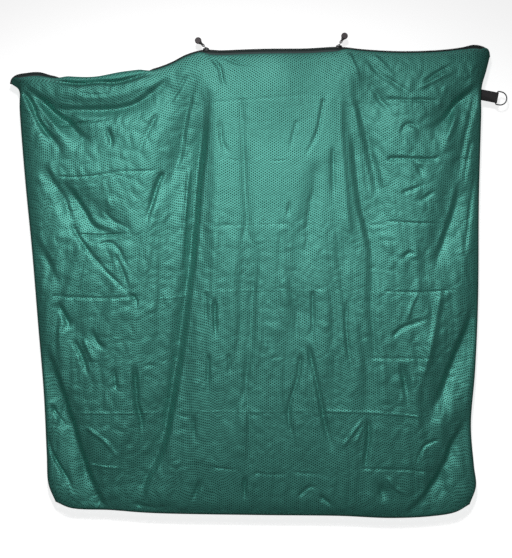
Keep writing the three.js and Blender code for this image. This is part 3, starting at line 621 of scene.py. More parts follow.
def wrinkles(places, seed):
    """Small unevenness of the cloth: rows of upright ripples and a light crumple."""
    from_middle = np.abs(places.x - CLOTH_MIDDLE)
    lows, flanks = eased(-places.z, *LOW_DOWN), eased(from_middle, *FLANK_ACROSS)
    taut = (1 - eased(from_middle, *TAUT_ACROSS)) * (1 - eased(-places.z, *TAUT_DOWN))
    depth = np.empty_like(places.x)
    for i, (x, z, low, flank, loose) in enumerate(zip(places.x, places.z, lows, flanks, 1 - TAUT * taut)):
        fan = x / (1 - FAN_OUT * z) + SWAY * uneven_at(x, z, SWAY_SIZE, seed)
        rows = uneven_at(fan, z, NARROW_SIZE, seed + 3) + uneven_at(fan, z, WIDE_SIZE, seed + 13)
        ripple = abs(RIPPLE * rows)
        broad = BROAD * uneven_at(x, z, BROAD_SIZE, seed + 7)
        bent = BENT * uneven_at(x, z, BENT_SIZE, seed + 11)
        facets = facet_at(x, z, FACET_SIZE, (bent, -bent), seed + 5) * (FACET + FLANK_FACET * flank)
        facets += SMALL_FACET * facet_at(x, z, SMALL_FACET_SIZE, (bent, bent), seed + 9)
        depth[i] = loose * (broad - facets - UPPER_RIPPLE * ripple) - LOWER_RIPPLE * low * ripple
    return depth


SEAM_FADE, FOLD_FADE, WRINKLE_FADE = (0, 24), (4, 16), (3, 34)  # distances in which they begin from an edge
MAIN_SHARE, FINE_SHARE, FINE_CRISP, CREASE_SHARE = 0.4, 1.1, 0.85, 0.6
FRONT_SEED, BACK_SEED, BACK_WRINKLED = 1, 40, 0.7


def panel_points(side, places):
    """Points of the front panel, for a side of -1, or of the back one, for a side of 1."""
    from_seams = places.from_left, places.from_right, places.from_bottom
    clear = math.prod(eased(away, *SEAM_FADE) for away in from_seams)
    folded, free = (clear * eased(places.from_top, *fade) for fade in (FOLD_FADE, WRINKLE_FADE))
    if side < 0:
        swell = RIM_ROLL * rise_from_seams(places, RIM_REACH)
        swell += BELLY * rise(places.from_top, BELLY_REACH) * rise_from_seams(places, BELLY_REACH)
        swell -= MAIN_SHARE * pressed(MAIN_FOLDS, places)
        swell -= folded * FINE_SHARE * pressed(FINE_FOLDS, places, FINE_CRISP)
        swell -= folded * CREASE_SHARE * pressed(PACKING_CREASES, places, 1)
        swell -= free * wrinkles(places, FRONT_SEED)
    else:
        swell = BACK_SWELL * rise_from_seams(places, BACK_REACH) - pressed(BACK_FOLDS, places)
        swell -= free * wrinkles(places, BACK_SEED) * BACK_WRINKLED
    y = side * (seat(places) + np.maximum(swell, 0))
    return np.stack([places.x, y, places.z], axis=-1) * MM


def crowded(shares, spots, width, extra):
    """Moves even shares so that they lie closer together round the spots."""
    fine = np.linspace(0, 1, 4001)
    weight = 1 + sum(extra * np.exp(-((fine - spot) / width) ** 2) for spot in spots)
    total = np.concatenate([[0], np.cumsum((weight[1:] + weight[:-1]) / 2)])
    return np.interp(shares, total / total[-1], fine)


def add_node(tree, kind, inputs, **settings):
    """Adds a node: settings are its own properties, and inputs are values or other nodes' outputs."""
    made = tree.nodes.new(kind)
    for name, value in settings.items():
        setattr(made, name, value)
    for key, value in inputs.items():
        if isinstance(value, bpy.types.NodeSocket):
            tree.links.new(value, made.inputs[key])
        else:
            made.inputs[key].default_value = value
    return made


def new_material(name):
    material = bpy.data.materials.new(name)
    material.use_nodes = True
    tree = material.node_tree
    return material, tree, tree.nodes["Principled BSDF"]


def plain_material(name, colour, roughness, metallic=0.0, grain=None, grain_depth=0.0):
    """A material of one colour, with a fine grain of the given size in metres."""
    material, tree, shader = new_material(name)
    shader.inputs["Base Color"].default_value = (*colour, 1)
    shader.inputs["Roughness"].default_value = roughness
    shader.inputs["Metallic"].default_value = metallic
    if grain:
        place = add_node(tree, "ShaderNodeTexCoord", {})
        speckle = add_node(tree, "ShaderNodeTexNoise", {"Vector": place.outputs["Object"], "Scale": 1 / grain,
                                                        "Detail": 3.0, "Roughness": 0.6})
        bump = add_node(tree, "ShaderNodeBump", {"Height": speckle.outputs["Fac"], "Strength": 0.5,
                                                 "Distance": grain_depth})
        tree.links.new(bump.outputs["Normal"], shader.inputs["Normal"])
    return material


HOLE_EDGE = 0.0002  # half of the width over which the edge of a hole fades
THREAD_FROM, THREAD_TO = 0.9, 1.9  # where the rounded thread beside a hole begins and ends, in its radii; over this span the painted shade round a hole fades into the net's colour
CRUMPLE_SIZE = 1 / 140  # size of the finest unevenness of the cloth, in metres


def net_material():
    """Perforated nylon net: round holes in staggered rows, rounded threads between them, a soft sheen,
    painted shade round each hole and on the inner face.
    """
    settings = bpy.context.scene.sack_cloth
    material, tree, shader = new_material("perforated_nylon_net")
    pitch = (settings.hole_across, settings.hole_down, 0)
    flat = add_node(tree, "ShaderNodeUVMap", {}, uv_map="flat_cloth").outputs["UV"]
    cells = add_node(tree, "ShaderNodeVectorMath", {0: flat, 1: (1 / pitch[0], 1 / pitch[1], 0)},
                     operation="MULTIPLY").outputs["Vector"]
    to_hole = []
    for shift in (0.0, 0.5):
        moved = add_node(tree, "ShaderNodeVectorMath", {0: cells, 1: (shift, shift, 0)}, operation="ADD")
        part = add_node(tree, "ShaderNodeVectorMath", {0: moved.outputs["Vector"]}, operation="FRACTION")
        middle = add_node(tree, "ShaderNodeVectorMath", {0: part.outputs["Vector"], 1: (0.5, 0.5, 0)},
                          operation="SUBTRACT")
        real = add_node(tree, "ShaderNodeVectorMath", {0: middle.outputs["Vector"], 1: pitch},
                        operation="MULTIPLY")
        away = add_node(tree, "ShaderNodeVectorMath", {0: real.outputs["Vector"]}, operation="LENGTH")
        to_hole.append(away.outputs["Value"])
    nearest = add_node(tree, "ShaderNodeMath", dict(enumerate(to_hole)), operation="MINIMUM").outputs["Value"]
    radius = settings.hole_width / 2
    cloth = add_node(tree, "ShaderNodeMapRange", {"Value": nearest, "From Min": radius - HOLE_EDGE,
                                                  "From Max": radius + HOLE_EDGE}).outputs["Result"]
    down = add_node(tree, "ShaderNodeSeparateXYZ", {"Vector": flat}).outputs["Y"]
    hem = add_node(tree, "ShaderNodeMath", {0: down, 1: settings.hem}, operation="LESS_THAN").outputs["Value"]
    from_seam = add_node(tree, "ShaderNodeAttribute", {}, attribute_name="from_seam").outputs["Fac"]
    seam = add_node(tree, "ShaderNodeMath", {0: from_seam, 1: settings.seam},
                    operation="LESS_THAN").outputs["Value"]
    plain = add_node(tree, "ShaderNodeMath", {0: hem, 1: seam}, operation="MAXIMUM").outputs["Value"]
    covered = add_node(tree, "ShaderNodeMath", {0: cloth, 1: plain}, operation="MAXIMUM").outputs["Value"]
    sheer = add_node(tree, "ShaderNodeMath", {0: covered, 1: settings.cover}, operation="MULTIPLY")
    tree.links.new(sheer.outputs["Value"], shader.inputs["Alpha"])

    # The thread's rise from a hole bumps the surface, and also fades the painted shade round each hole into
    # the net's colour
    thread = add_node(tree, "ShaderNodeMapRange", {"Value": nearest, "From Min": THREAD_FROM * radius,
                                                   "From Max": THREAD_TO * radius}).outputs["Result"]
    even = add_node(tree, "ShaderNodeMath", {0: thread, 1: plain}, operation="MAXIMUM").outputs["Value"]
    hole_shaded = add_node(tree, "ShaderNodeMix", {0: even, 6: (*settings.shade, 1), 7: (*settings.colour, 1)},
                     data_type="RGBA").outputs[2]
    outside = add_node(tree, "ShaderNodeMix", {0: seam, 6: hole_shaded, 7: (*settings.sewn, 1)},
                       data_type="RGBA").outputs[2]
    # Painted shade: faces seen from inside the sack take the darker inside colour
    inner = add_node(tree, "ShaderNodeNewGeometry", {}).outputs["Backfacing"]
    colour = add_node(tree, "ShaderNodeMix", {0: inner, 6: outside, 7: (*settings.inside, 1)},
                      data_type="RGBA").outputs[2]
    tree.links.new(colour, shader.inputs["Base Color"])

    rounded = add_node(tree, "ShaderNodeBump", {"Height": thread, "Strength": 0.4, "Distance": 0.0005})
    crumple = add_node(tree, "ShaderNodeTexNoise", {"Vector": flat, "Scale": 1 / CRUMPLE_SIZE, "Detail": 3.0,
                                                    "Roughness": 0.6})
    uneven = add_node(tree, "ShaderNodeBump", {"Height": crumple.outputs["Fac"], "Strength": 0.3,
                                               "Distance": 0.0008, "Normal": rounded.outputs["Normal"]})
    tree.links.new(uneven.outputs["Normal"], shader.inputs["Normal"])
    shader.inputs["Roughness"].default_value = 0.58
    shader.inputs["Coat Weight"].default_value = 0.35
    shader.inputs["Coat Roughness"].default_value = 0.5
    shader.inputs["Metallic"].default_value = 0.8  # drawn filaments shine in the cloth's own colour
    return material


RIB_BANDS, THREAD_BANDS = 3.18, 2.0  # a wave texture has several bands to a unit
RIB_SHADE = 0.6  # painted shade: how much darker the cloth is coloured between its ribs


def woven_material(name, colour, rib, roughness, sheen_band=None, sheen_band_from=0.0):
    """Woven tape or webbing: ribs across its length, crossed by slanting threads, with painted shade between
    the ribs and, where given, a lighter band of painted sheen.
    """
    material, tree, shader = new_material(name)
    flat = add_node(tree, "ShaderNodeUVMap", {}, uv_map="flat_cloth").outputs["UV"]
    wave = {"Vector": flat, "Scale": 1 / rib / RIB_BANDS, "Distortion": 0.4, "Detail": 1.0}
    ribs = add_node(tree, "ShaderNodeTexWave", wave, bands_direction="X").outputs["Fac"]
    wave = {"Vector": flat, "Scale": 1 / rib / THREAD_BANDS, "Distortion": 0.3}
    threads = add_node(tree, "ShaderNodeTexWave", wave, bands_direction="DIAGONAL").outputs["Fac"]
    height = add_node(tree, "ShaderNodeMath", {0: ribs, 1: threads}, operation="ADD").outputs["Value"]
    bump = add_node(tree, "ShaderNodeBump", {"Height": height, "Strength": 0.6, "Distance": rib / 5})
    tree.links.new(bump.outputs["Normal"], shader.inputs["Normal"])
    # Painted shade: the cloth is coloured darker between its ribs
    dark = tuple(RIB_SHADE * part for part in colour)
    tint = add_node(tree, "ShaderNodeMix", {0: ribs, 6: (*dark, 1), 7: (*colour, 1)}, data_type="RGBA")
    # Painted sheen: a lighter band of colour below the given distance from the coil
    if sheen_band:
        down = add_node(tree, "ShaderNodeSeparateXYZ", {"Vector": flat}).outputs["Y"]
        low = add_node(tree, "ShaderNodeMath", {0: down, 1: sheen_band_from}, operation="GREATER_THAN")
        tint = add_node(tree, "ShaderNodeMix", {0: low.outputs["Value"], 6: tint.outputs[2],
                                                7: (*sheen_band, 1)}, data_type="RGBA")
    tree.links.new(tint.outputs[2], shader.inputs["Base Color"])
    shader.inputs["Roughness"].default_value = roughness
    return material


def add_piece(name, bm, materials, nodes=(), flat=None, sharp=None):
    """Makes an object of a mesh, with a flat UV map where one is given, and hands it to the frame."""
    mesh = bpy.data.meshes.new(name)
    bm.to_mesh(mesh)
    bm.free()
    for material in materials:
        mesh.materials.append(material)
    if flat is not None:
        layer = mesh.uv_layers.new(name="flat_cloth")
        corners = np.empty(len(mesh.loops), dtype=np.int32)
        mesh.loops.foreach_get("vertex_index", corners)
        layer.data.foreach_set("uv", flat[corners].ravel().astype(np.float32))
    mesh.shade_smooth()
    if sharp:
        mesh.set_sharp_from_angle(angle=math.radians(sharp))
    piece = bpy.data.objects.new(name, mesh)
    bpy.context.scene.collection.objects.link(piece)
    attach(piece, "root")
    if nodes:
        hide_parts(*nodes)
    return piece


def grid_sheet(columns, rows, place):
    """A grid of faces laid by place, which turns shares across and down into points and flat sizes."""
    bm = bmesh.new()
    bmesh.ops.create_grid(bm, x_segments=columns, y_segments=rows, size=0.5)
    shares = np.array([vertex.co.xy for vertex in bm.verts])
    points, flat = place(shares[:, 0] + 0.5, 0.5 - shares[:, 1])
    for vertex, point in zip(bm.verts, points):
        vertex.co = point
    return bm, flat


def thicken(piece, thickness):
    solidify = piece.modifiers.new("thickness", "SOLIDIFY")
    solidify.thickness = thickness
    solidify.offset = 0


def lengths_along(grid):
    """Lengths of cloth along each row of points, from its start."""
    steps = np.linalg.norm(np.diff(grid, axis=1), axis=-1)
    return np.concatenate([np.zeros((len(grid), 1)), np.cumsum(steps, axis=1)], axis=1)


def add_panel(name, node, side, columns, rows):
    def place(across, down):
        v = crowded(down, (0, *CREASE_ROWS), *CROWDING)
        places = spread(across, v)
        from_seam[:] = np.minimum.reduce([places.from_left, places.from_right, places.from_bottom]) * MM
        points = panel_points(side, places)
        grid = points.reshape(rows + 1, columns + 1, 3)
        wide = lengths_along(grid)
        wide -= wide[:, columns // 2:columns // 2 + 1]
        deep = lengths_along(grid[::-1].transpose(1, 0, 2)).T[::-1]
        return points, np.stack([fullness * wide.ravel(), deep.ravel()], axis=-1)

    fullness = 1 if side < 0 else BACK_FULLNESS
    from_seam = np.empty((columns + 1) * (rows + 1))
    bm, flat = grid_sheet(columns, rows, place)
    if side > 0:
        bmesh.ops.reverse_faces(bm, faces=bm.faces)
    panel = add_piece(name, bm, [net_material()], [node], flat)
    distances = panel.data.attributes.new("from_seam", "FLOAT", "POINT").data
    distances.foreach_set("value", from_seam.astype(np.float32))
    return panel


class SACK_OT_front_net(bpy.types.Operator):
    """Drapes the front panel of net in its folds"""

    bl_idname = "sack.front_net"
    bl_label = "Front net"

    def execute(self, context):
        settings = context.scene.sack_cloth
        add_panel("front_net", "front_panel", -1, settings.columns, settings.rows)
        return {"FINISHED"}


class SACK_OT_back_net(bpy.types.Operator):
    """Drapes the flatter back panel of net"""

    bl_idname = "sack.back_net"
    bl_label = "Back net"

    def execute(self, context):
        faces = context.scene.sack_cloth.back_faces
        add_panel("back_net", "back_panel", 1, faces, faces)
        return {"FINISHED"}


TAPE_FACES = (420, 4)
FACES_A_TURN, FACES_ROUND_WIRE = 8, 5


class SACK_OT_zip(bpy.types.Operator):
    """Lays the two zip tapes along the top edge, each with its coil"""

    bl_idname = "sack.zip"
    bl_label = "Zip"

    def tape(self, side):
        def place(across, down):
            line = coil_line(across) + inwards(across) * (down * TAPE_DEPTH)[:, None]
            y = side * (coil_offset(top.at(across)[:, 0]) + TAPE / 2)
            size = np.stack([across * top.length, down * TAPE_DEPTH], axis=-1) * MM
            return np.stack([line[:, 0], y, line[:, 1]], axis=-1) * MM, size

        bm, flat = grid_sheet(*TAPE_FACES, place)
        if side > 0:
            bmesh.ops.reverse_faces(bm, faces=bm.faces)
        return bm, flat

    def coil(self, side, pitch, wire):
        turns = round(top.length * MM / pitch)

        def place(across, round_wire):
            line, into = coil_line(across), inwards(across)
            along = top.along(across)
            turn, about = 2 * np.pi * turns * across, 2 * np.pi * round_wire
            radius = COIL_RADIUS - wire / MM + wire / MM * np.cos(about)
            beside = (wire / MM * np.sin(about))[:, None] * along
            flat_part = line - into * (radius * np.cos(turn))[:, None] + beside
            y = side * coil_offset(top.at(across)[:, 0]) + radius * np.sin(turn)
            return np.stack([flat_part[:, 0], y, flat_part[:, 1]], axis=-1) * MM, None

        bm, _ = grid_sheet(turns * FACES_A_TURN, FACES_ROUND_WIRE, place)
        bmesh.ops.remove_doubles(bm, verts=bm.verts, dist=wire / 50)
        bmesh.ops.holes_fill(bm, edges=[edge for edge in bm.edges if edge.is_boundary], sides=0)
        bmesh.ops.recalc_face_normals(bm, faces=bm.faces)
        return bm

    def execute(self, context):
        settings = context.scene.sack_zip
        # Woven polyester: dull, with fine ribs, and a lighter band of painted sheen
        woven = woven_material("woven_zip_tape", settings.tape, rib=0.0008, roughness=0.75,
                               sheen_band=settings.sheen_band, sheen_band_from=settings.sheen_band_from)
        # Drawn nylon: smooth, with a short highlight on each turn
        nylon = plain_material("nylon_coil", settings.coil, roughness=0.4)
        for name, side in (("front", -1), ("back", 1)):
            nodes = [f"zip_{name}_{stretch}" for stretch in ("left", "open", "right")]
            bm, flat = self.tape(side)
            tape = add_piece(f"zip_{name}", bm, [woven], nodes, flat)
            thicken(tape, settings.tape_thickness)
            bm = self.coil(side, settings.coil_pitch, settings.coil_wire)
            add_piece(f"coil_{name}", bm, [nylon])
        return {"FINISHED"}


STITCH_PITCH, STITCH, STITCH_WIRE, STITCH_LIFT = 0.0042, 0.003, 0.00028, 0.00055
HEM_ROW, SEAM_ROW = 0.004, 0.006  # shares of the panel from its edge to a row of stitches
ROW_SPAN, ROW_POINTS = (0.003, 0.997), 600  # where a row begins and ends, and the points that lay it


class SACK_OT_stitches(bpy.types.Operator):
    """Sews the hems and seams with single stitches"""

    bl_idname = "sack.stitches"
    bl_label = "Stitches"

    def row(self, bm, side, u, v):
        """Stitches along the line of shares u and v, on the outer face of a panel."""
        points = panel_points(side, spread(u, v))
        steps = np.linalg.norm(np.diff(points, axis=0), axis=1)
        run = np.concatenate([[0], np.cumsum(steps)])
        size = Matrix.Diagonal((STITCH_WIRE, STITCH_WIRE, STITCH / 2, 1))
        lift = Vector((0, side * STITCH_LIFT, 0))
        for start in np.arange(STITCH_PITCH, run[-1] - STITCH_PITCH, STITCH_PITCH):
            ends = [Vector([np.interp(at, run, part) for part in points.T]) for at in (start, start + STITCH)]
            turn = (ends[1] - ends[0]).to_track_quat("Z", "Y").to_matrix().to_4x4()
            place = Matrix.Translation((ends[0] + ends[1]) / 2 + lift) @ turn @ size
            bmesh.ops.create_icosphere(bm, subdivisions=1, radius=1, matrix=place)

    def execute(self, context):
        # Spun polyester: dull
        thread = plain_material("polyester_thread", context.scene.sack_cloth.thread, roughness=0.6)
        shares = np.linspace(*ROW_SPAN, ROW_POINTS)
        hem, first, last = (np.full_like(shares, at) for at in (HEM_ROW, SEAM_ROW, 1 - SEAM_ROW))
        for name, side in (("front", -1), ("back", 1)):
            bm = bmesh.new()
            for u, v in ((shares, hem), (first, shares), (last, shares), (shares, last)):
                self.row(bm, side, u, v)
            add_piece(f"stitches_{name}", bm, [thread])
        return {"FINISHED"}


def only(made, kind):
    """The vertices, edges or faces among what an operator made."""
    return [part for part in made if isinstance(part, kind)]


def bent_wire(bm, start, heading, axis, bends, radius, sides=12):
    """Bends a round wire in one plane: each bend is a straight run, then a turn in degrees round a radius."""
    place, heading, axis = Vector(start), Vector(heading), Vector(axis)
    turned = heading.to_track_quat("Z", "Y").to_matrix().to_4x4()
    start_ring = Matrix.Translation(place) @ turned
    ring = bmesh.ops.create_circle(bm, segments=sides, radius=radius, matrix=start_ring)["verts"]
    first = last = list({edge for vertex in ring for edge in vertex.link_edges})
    for run, degrees, bend in bends:
        if run:
            made = bmesh.ops.extrude_edge_only(bm, edges=last)["geom"]
            verts = set(only(made, bmesh.types.BMVert))
            bmesh.ops.translate(bm, verts=list(verts), vec=heading * run)
            last = [edge for edge in only(made, bmesh.types.BMEdge) if verts.issuperset(edge.verts)]
            place = place + heading * run
        if degrees:
            centre = place + axis.cross(heading) * math.copysign(bend, degrees)
            angle = math.radians(degrees)
            made = bmesh.ops.spin(bm, geom=last, cent=centre, axis=axis, angle=angle,
                                  steps=max(3, round(abs(degrees) / 12)))
            last = only(made["geom_last"], bmesh.types.BMEdge)
            turn = Matrix.Rotation(angle, 3, axis)
            place = centre + turn @ (place - centre)
            heading = turn @ heading
    bmesh.ops.contextual_create(bm, geom=first)
    bmesh.ops.contextual_create(bm, geom=last)
    bmesh.ops.recalc_face_normals(bm, faces=bm.faces)


def carriage(x):
    """The place of a slider on the zip, turned along it."""
    share = float(top.share_at(x))
    point, along = coil_line(np.float64(share)), top.along(np.float64(share))
    turn = Matrix.Rotation(-math.atan2(along[1], along[0]), 4, "Y")
    return Matrix.Translation(Vector((point[0], 0, point[1])) * MM) @ turn


SLIDER_SECTION = [  # half of a slider across the zip, as (y, z)
    (5.0, 3.8), (5.0, -2.0), (3.8, -2.0), (3.8, 2.3), (0.6, 2.3), (0.6, -2.3), (1.9, -2.3), (1.9, -3.8),
]
SLIDER_LONG, SLIDER_BEVEL = 14, 0.35
PLATE_TOP = 3.8
BAIL_INNER, BAIL_OUTER, BAIL_DEEP, BAIL_SUNK = 2.8, 4.2, 2.4, 0.3
BAIL_SQUASH = 0.93
LINK_WIRE, LINK_HALF, LINK_LONG = 0.6, 3.2, 9.5
LINK_GAP = 0.1  # half of the gap between the wire's ends
STANDING = PLATE_TOP - BAIL_SUNK + 1.3
LEANS = {"left": -45, "right": 29}


class SACK_OT_sliders(bpy.types.Operator):
    """Sets the two sliders on the zip"""

    bl_idname = "sack.sliders"
    bl_label = "Sliders"

    def body(self):
        bm = bmesh.new()
        section = SLIDER_SECTION + [(-y, z) for y, z in reversed(SLIDER_SECTION)]
        verts = [bm.verts.new((-SLIDER_LONG / 2, y, z)) for y, z in section]
        face = bmesh.ops.contextual_create(bm, geom=verts)["faces"]
        made = bmesh.ops.extrude_face_region(bm, geom=face, use_keep_orig=True)["geom"]
        bmesh.ops.translate(bm, verts=only(made, bmesh.types.BMVert), vec=(SLIDER_LONG, 0, 0))
        bmesh.ops.recalc_face_normals(bm, faces=bm.faces)
        bmesh.ops.bevel(bm, geom=bm.edges[:], affect="EDGES", offset=SLIDER_BEVEL, segments=2, profile=0.5,
                        material=-1)
        return bm

    def bail(self, bm):
        half = BAIL_DEEP / 2
        corners = [bm.verts.new((x, y, 0)) for x, y in ((BAIL_INNER, -half), (BAIL_OUTER, -half),
                                                       (BAIL_OUTER, half), (BAIL_INNER, half))]
        face = bmesh.ops.contextual_create(bm, geom=corners)["faces"]
        made = bmesh.ops.spin(bm, geom=face, cent=(0, 0, 0), axis=(0, -1, 0), angle=math.pi, steps=16)
        ends = {vertex for end in only(made["geom_last"], bmesh.types.BMFace) for vertex in end.verts}
        arch = set(corners) | ends
        reached = True
        while reached:
            reached = {edge.other_vert(v) for v in arch for edge in v.link_edges} - arch
            arch |= reached
        bmesh.ops.scale(bm, verts=list(arch), vec=(1, 1, BAIL_SQUASH))
        bmesh.ops.translate(bm, verts=list(arch), vec=(0, 0, PLATE_TOP - BAIL_SUNK))

    def execute(self, context):
        # Cast zinc under satin paint: soft highlights, broken by the paint
        paint = plain_material("painted_zinc", context.scene.sack_fittings.slider, roughness=0.35,
                               metallic=0.4, grain=0.0006, grain_depth=0.00005)
        for name, x in (("left", -SLIDER_X), ("right", SLIDER_X)):
            bm = self.body()
            self.bail(bm)
            bmesh.ops.recalc_face_normals(bm, faces=bm.faces)
            bmesh.ops.transform(bm, matrix=carriage(x) @ Matrix.Scale(MM, 4), verts=bm.verts)
            add_piece(f"slider_body_{name}", bm, [paint], [f"slider_{name}"], sharp=40)
        return {"FINISHED"}


EYE_AT, EYE, EYE_END = 9.2, 1.7, 3.4
NECK, HEAD_AT, HEAD = 2.4, 26, 7.8
DISC, DISC_DEEP = 0.72 * HEAD, 0.5
PULL_THICK, PULL_BEVEL = 4, 0.8
SHOULDER = 50
RIM_ANGLE = 1.2  # edges that turn by more are rounded
KNOB_FROM = HEAD_AT - 0.75 * HEAD  # where the head's own material begins


class SACK_OT_pulls(bpy.types.Operator):
    """Stands the two moulded pulls on their wire links"""

    bl_idname = "sack.pulls"
    bl_label = "Pulls"

    def link(self):
        bm = bmesh.new()
        straight = LINK_LONG - 2 * LINK_HALF
        half = straight / 2 - LINK_GAP
        bends = [(half, 180, LINK_HALF), (straight, 180, LINK_HALF), (half, 0, 0)]
        bent_wire(bm, (0, LINK_HALF, LINK_LONG / 2 + LINK_GAP), (0, 0, 1), (1, 0, 0), bends, LINK_WIRE)
        return bm

    def body(self):
        """The outline of a pull, filled round its eye, given its thickness and rounded."""
        bm = bmesh.new()
        foot = bm.verts.new((-EYE_END, 0, EYE_AT))
        made = bmesh.ops.spin(bm, geom=[foot], cent=(0, 0, EYE_AT), axis=(0, -1, 0), angle=math.pi, steps=14)
        last = only(made["geom_last"], bmesh.types.BMVert)
        turn = math.radians(SHOULDER)
        shoulder = Vector((HEAD * math.cos(turn), 0, HEAD_AT - HEAD * math.sin(turn)))
        neck = Vector((NECK, 0, (EYE_AT + shoulder.z) / 2))
        waist = [Vector((EYE_END, 0, EYE_AT)).lerp(neck, 0.6), neck, shoulder.lerp(neck, 0.5)]
        for point in (*waist, shoulder):
            last = bmesh.ops.extrude_vert_indiv(bm, verts=last)["verts"]
            last[0].co = point
        made = bmesh.ops.spin(bm, geom=last, cent=(0, 0, HEAD_AT), axis=(0, -1, 0), angle=math.pi + 2 * turn,
                              steps=30)
        last = only(made["geom_last"], bmesh.types.BMVert)
        for point in reversed(waist):
            last = bmesh.ops.extrude_vert_indiv(bm, verts=last)["verts"]
            last[0].co = (-point.x, 0, point.z)
        bmesh.ops.contextual_create(bm, geom=[last[0], foot])
        upright = Matrix.Translation((0, 0, EYE_AT)) @ Matrix.Rotation(math.pi / 2, 4, "X")
        bmesh.ops.create_circle(bm, segments=20, radius=EYE, matrix=upright)
        filled = bmesh.ops.triangle_fill(bm, edges=bm.edges[:], use_beauty=True)["geom"]
        faces = only(filled, bmesh.types.BMFace)
        made = bmesh.ops.extrude_face_region(bm, geom=faces, use_keep_orig=True)["geom"]
        bmesh.ops.translate(bm, verts=bm.verts, vec=(0, PULL_THICK / 2, 0))
        bmesh.ops.translate(bm, verts=only(made, bmesh.types.BMVert), vec=(0, -PULL_THICK, 0))
        bmesh.ops.recalc_face_normals(bm, faces=bm.faces)
        rims = [edge for edge in bm.edges if edge.calc_face_angle(0) > RIM_ANGLE]
        bmesh.ops.bevel(bm, geom=rims, affect="EDGES", offset=PULL_BEVEL, segments=3, profile=0.5,
                        material=-1)
        return bm

    def head_faces(self, bm):
        """Gives the head its own material, with a low disc on each of its faces."""
        for face in bm.faces:
            face.material_index = int(face.calc_center_median().z > KNOB_FROM)
        upright = Matrix.Rotation(math.pi / 2, 4, "X")
        for front in (-1, 1):
            place = Matrix.Translation((0, front * PULL_THICK / 2, HEAD_AT)) @ upright
            made = bmesh.ops.create_cone(bm, cap_ends=True, segments=36, radius1=DISC, radius2=DISC,
                                         depth=DISC_DEEP, matrix=place)
            for face in {face for vertex in made["verts"] for face in vertex.link_faces}:
                face.material_index = 1

    def execute(self, context):
        settings = context.scene.sack_fittings
        # Blackened steel: dark, with a dim metal edge
        wire = plain_material("blackened_wire", settings.link, roughness=0.45, metallic=0.5)
        # Moulded rubber: dull, with the fine grain of its mould
        grained = {"grain": 0.0005, "grain_depth": 0.00006}
        shank = plain_material("moulded_rubber", settings.shank, roughness=0.55, **grained)
        knob = plain_material("moulded_rubber_head", settings.knob, roughness=0.5, **grained)
        for name, x in (("left", -SLIDER_X), ("right", SLIDER_X)):
            lean = Matrix.Rotation(math.radians(LEANS[name]), 4, "Y")
            standing = carriage(x) @ Matrix.Translation((0, 0, STANDING * MM)) @ lean @ Matrix.Scale(MM, 4)
            bm = self.link()
            bmesh.ops.transform(bm, matrix=standing, verts=bm.verts)
            add_piece(f"link_{name}", bm, [wire], [f"pull_link_{name}"])
            bm = self.body()
            self.head_faces(bm)
            bmesh.ops.transform(bm, matrix=standing, verts=bm.verts)
            add_piece(f"pull_body_{name}", bm, [shank, knob], [f"pull_{name}"], sharp=40)
        return {"FINISHED"}


TAB_BAR = 44.7  # distance of the ring's bar from the tab's sewn-in end
TAB_BEND = 2.55  # radius of the middle of the webbing round the bar
WEBBING_SHOWN = 1.4  # thickness of the webbing, a little less than the room it takes up
RING_WIRE, RING_HALF, RING_LEGS, RING_CORNER = 1.5, 15.7, 8.8, 3.2
RING_GAP = 0.3  # half of the gap between the wire's ends, inside the tab


class SACK_OT_side_tab(bpy.types.Operator):
    """Folds the webbing tab round its D-ring"""

    bl_idname = "sack.side_tab"
    bl_label = "Side tab and ring"

    def strip(self):
        bm = bmesh.new()
        half, flat = WEBBING_WIDE / 2, WEBBING / 2
        ends = [bm.verts.new((0, -flat, z)) for z in (-half, half)]
        edge = bm.edges.new(ends)
        meets = math.asin(flat / TAB_BEND)
        made = bmesh.ops.extrude_edge_only(bm, edges=[edge])["geom"]
        grown = only(made, bmesh.types.BMVert)
        bmesh.ops.translate(bm, verts=grown, vec=(TAB_BAR - TAB_BEND * math.cos(meets), 0, 0))
        last = [edge for edge in only(made, bmesh.types.BMEdge) if set(edge.verts) == set(grown)]
        made = bmesh.ops.spin(bm, geom=last, cent=(TAB_BAR, 0, 0), axis=(0, 0, 1),
                              angle=2 * math.pi - 2 * meets, steps=20)
        last = only(made["geom_last"], bmesh.types.BMEdge)
        made = bmesh.ops.extrude_edge_only(bm, edges=last)["geom"]
        for vertex in only(made, bmesh.types.BMVert):
            vertex.co.x = 0
        long_edges = [e for e in bm.edges if e.calc_length() > TAB_BAR / 2]
        bmesh.ops.subdivide_edges(bm, edges=long_edges, cuts=12)
        return bm

    def execute(self, context):
        settings = context.scene.sack_fittings
        tilt = math.radians(TAB_TILT)
        outwards = Vector((math.cos(tilt), 0, math.sin(tilt)))
        root = Vector((TAB_ROOT_X, 0, TAB_ROOT_Z)) - TAB_SEWN_IN * outwards
        hang = Matrix.Translation(root * MM) @ Matrix.Rotation(-tilt, 4, "Y") @ Matrix.Scale(MM, 4)
        bm = self.strip()
        flat = np.array([(v.co.x, v.co.z) for v in bm.verts]) * MM
        bmesh.ops.transform(bm, matrix=hang, verts=bm.verts)
        # Woven nylon webbing: dull, with coarser ribs
        woven = woven_material("woven_webbing", settings.webbing, rib=0.0016, roughness=0.8)
        tab = add_piece("webbing_tab", bm, [woven], ["side_tab"], flat, sharp=40)
        thicken(tab, WEBBING_SHOWN * MM)
        bm = bmesh.new()
        straight = RING_HALF - RING_CORNER
        legs = RING_LEGS - RING_CORNER
        bends = [(straight - RING_GAP, -90, RING_CORNER), (legs, -180, RING_HALF), (legs, -90, RING_CORNER),
                 (straight - RING_GAP, 0, 0)]
        bent_wire(bm, (TAB_BAR, 0, RING_GAP), (0, 0, 1), (0, -1, 0), bends, RING_WIRE, 16)
        bmesh.ops.transform(bm, matrix=hang, verts=bm.verts)
        # Nickel-plated steel, a little worn: broad pale highlights
        wire = plain_material("nickel_plated_ring", settings.wire, roughness=0.45, metallic=0.7)
        add_piece("tab_ring", bm, [wire], ["d_ring"])
        return {"FINISHED"}


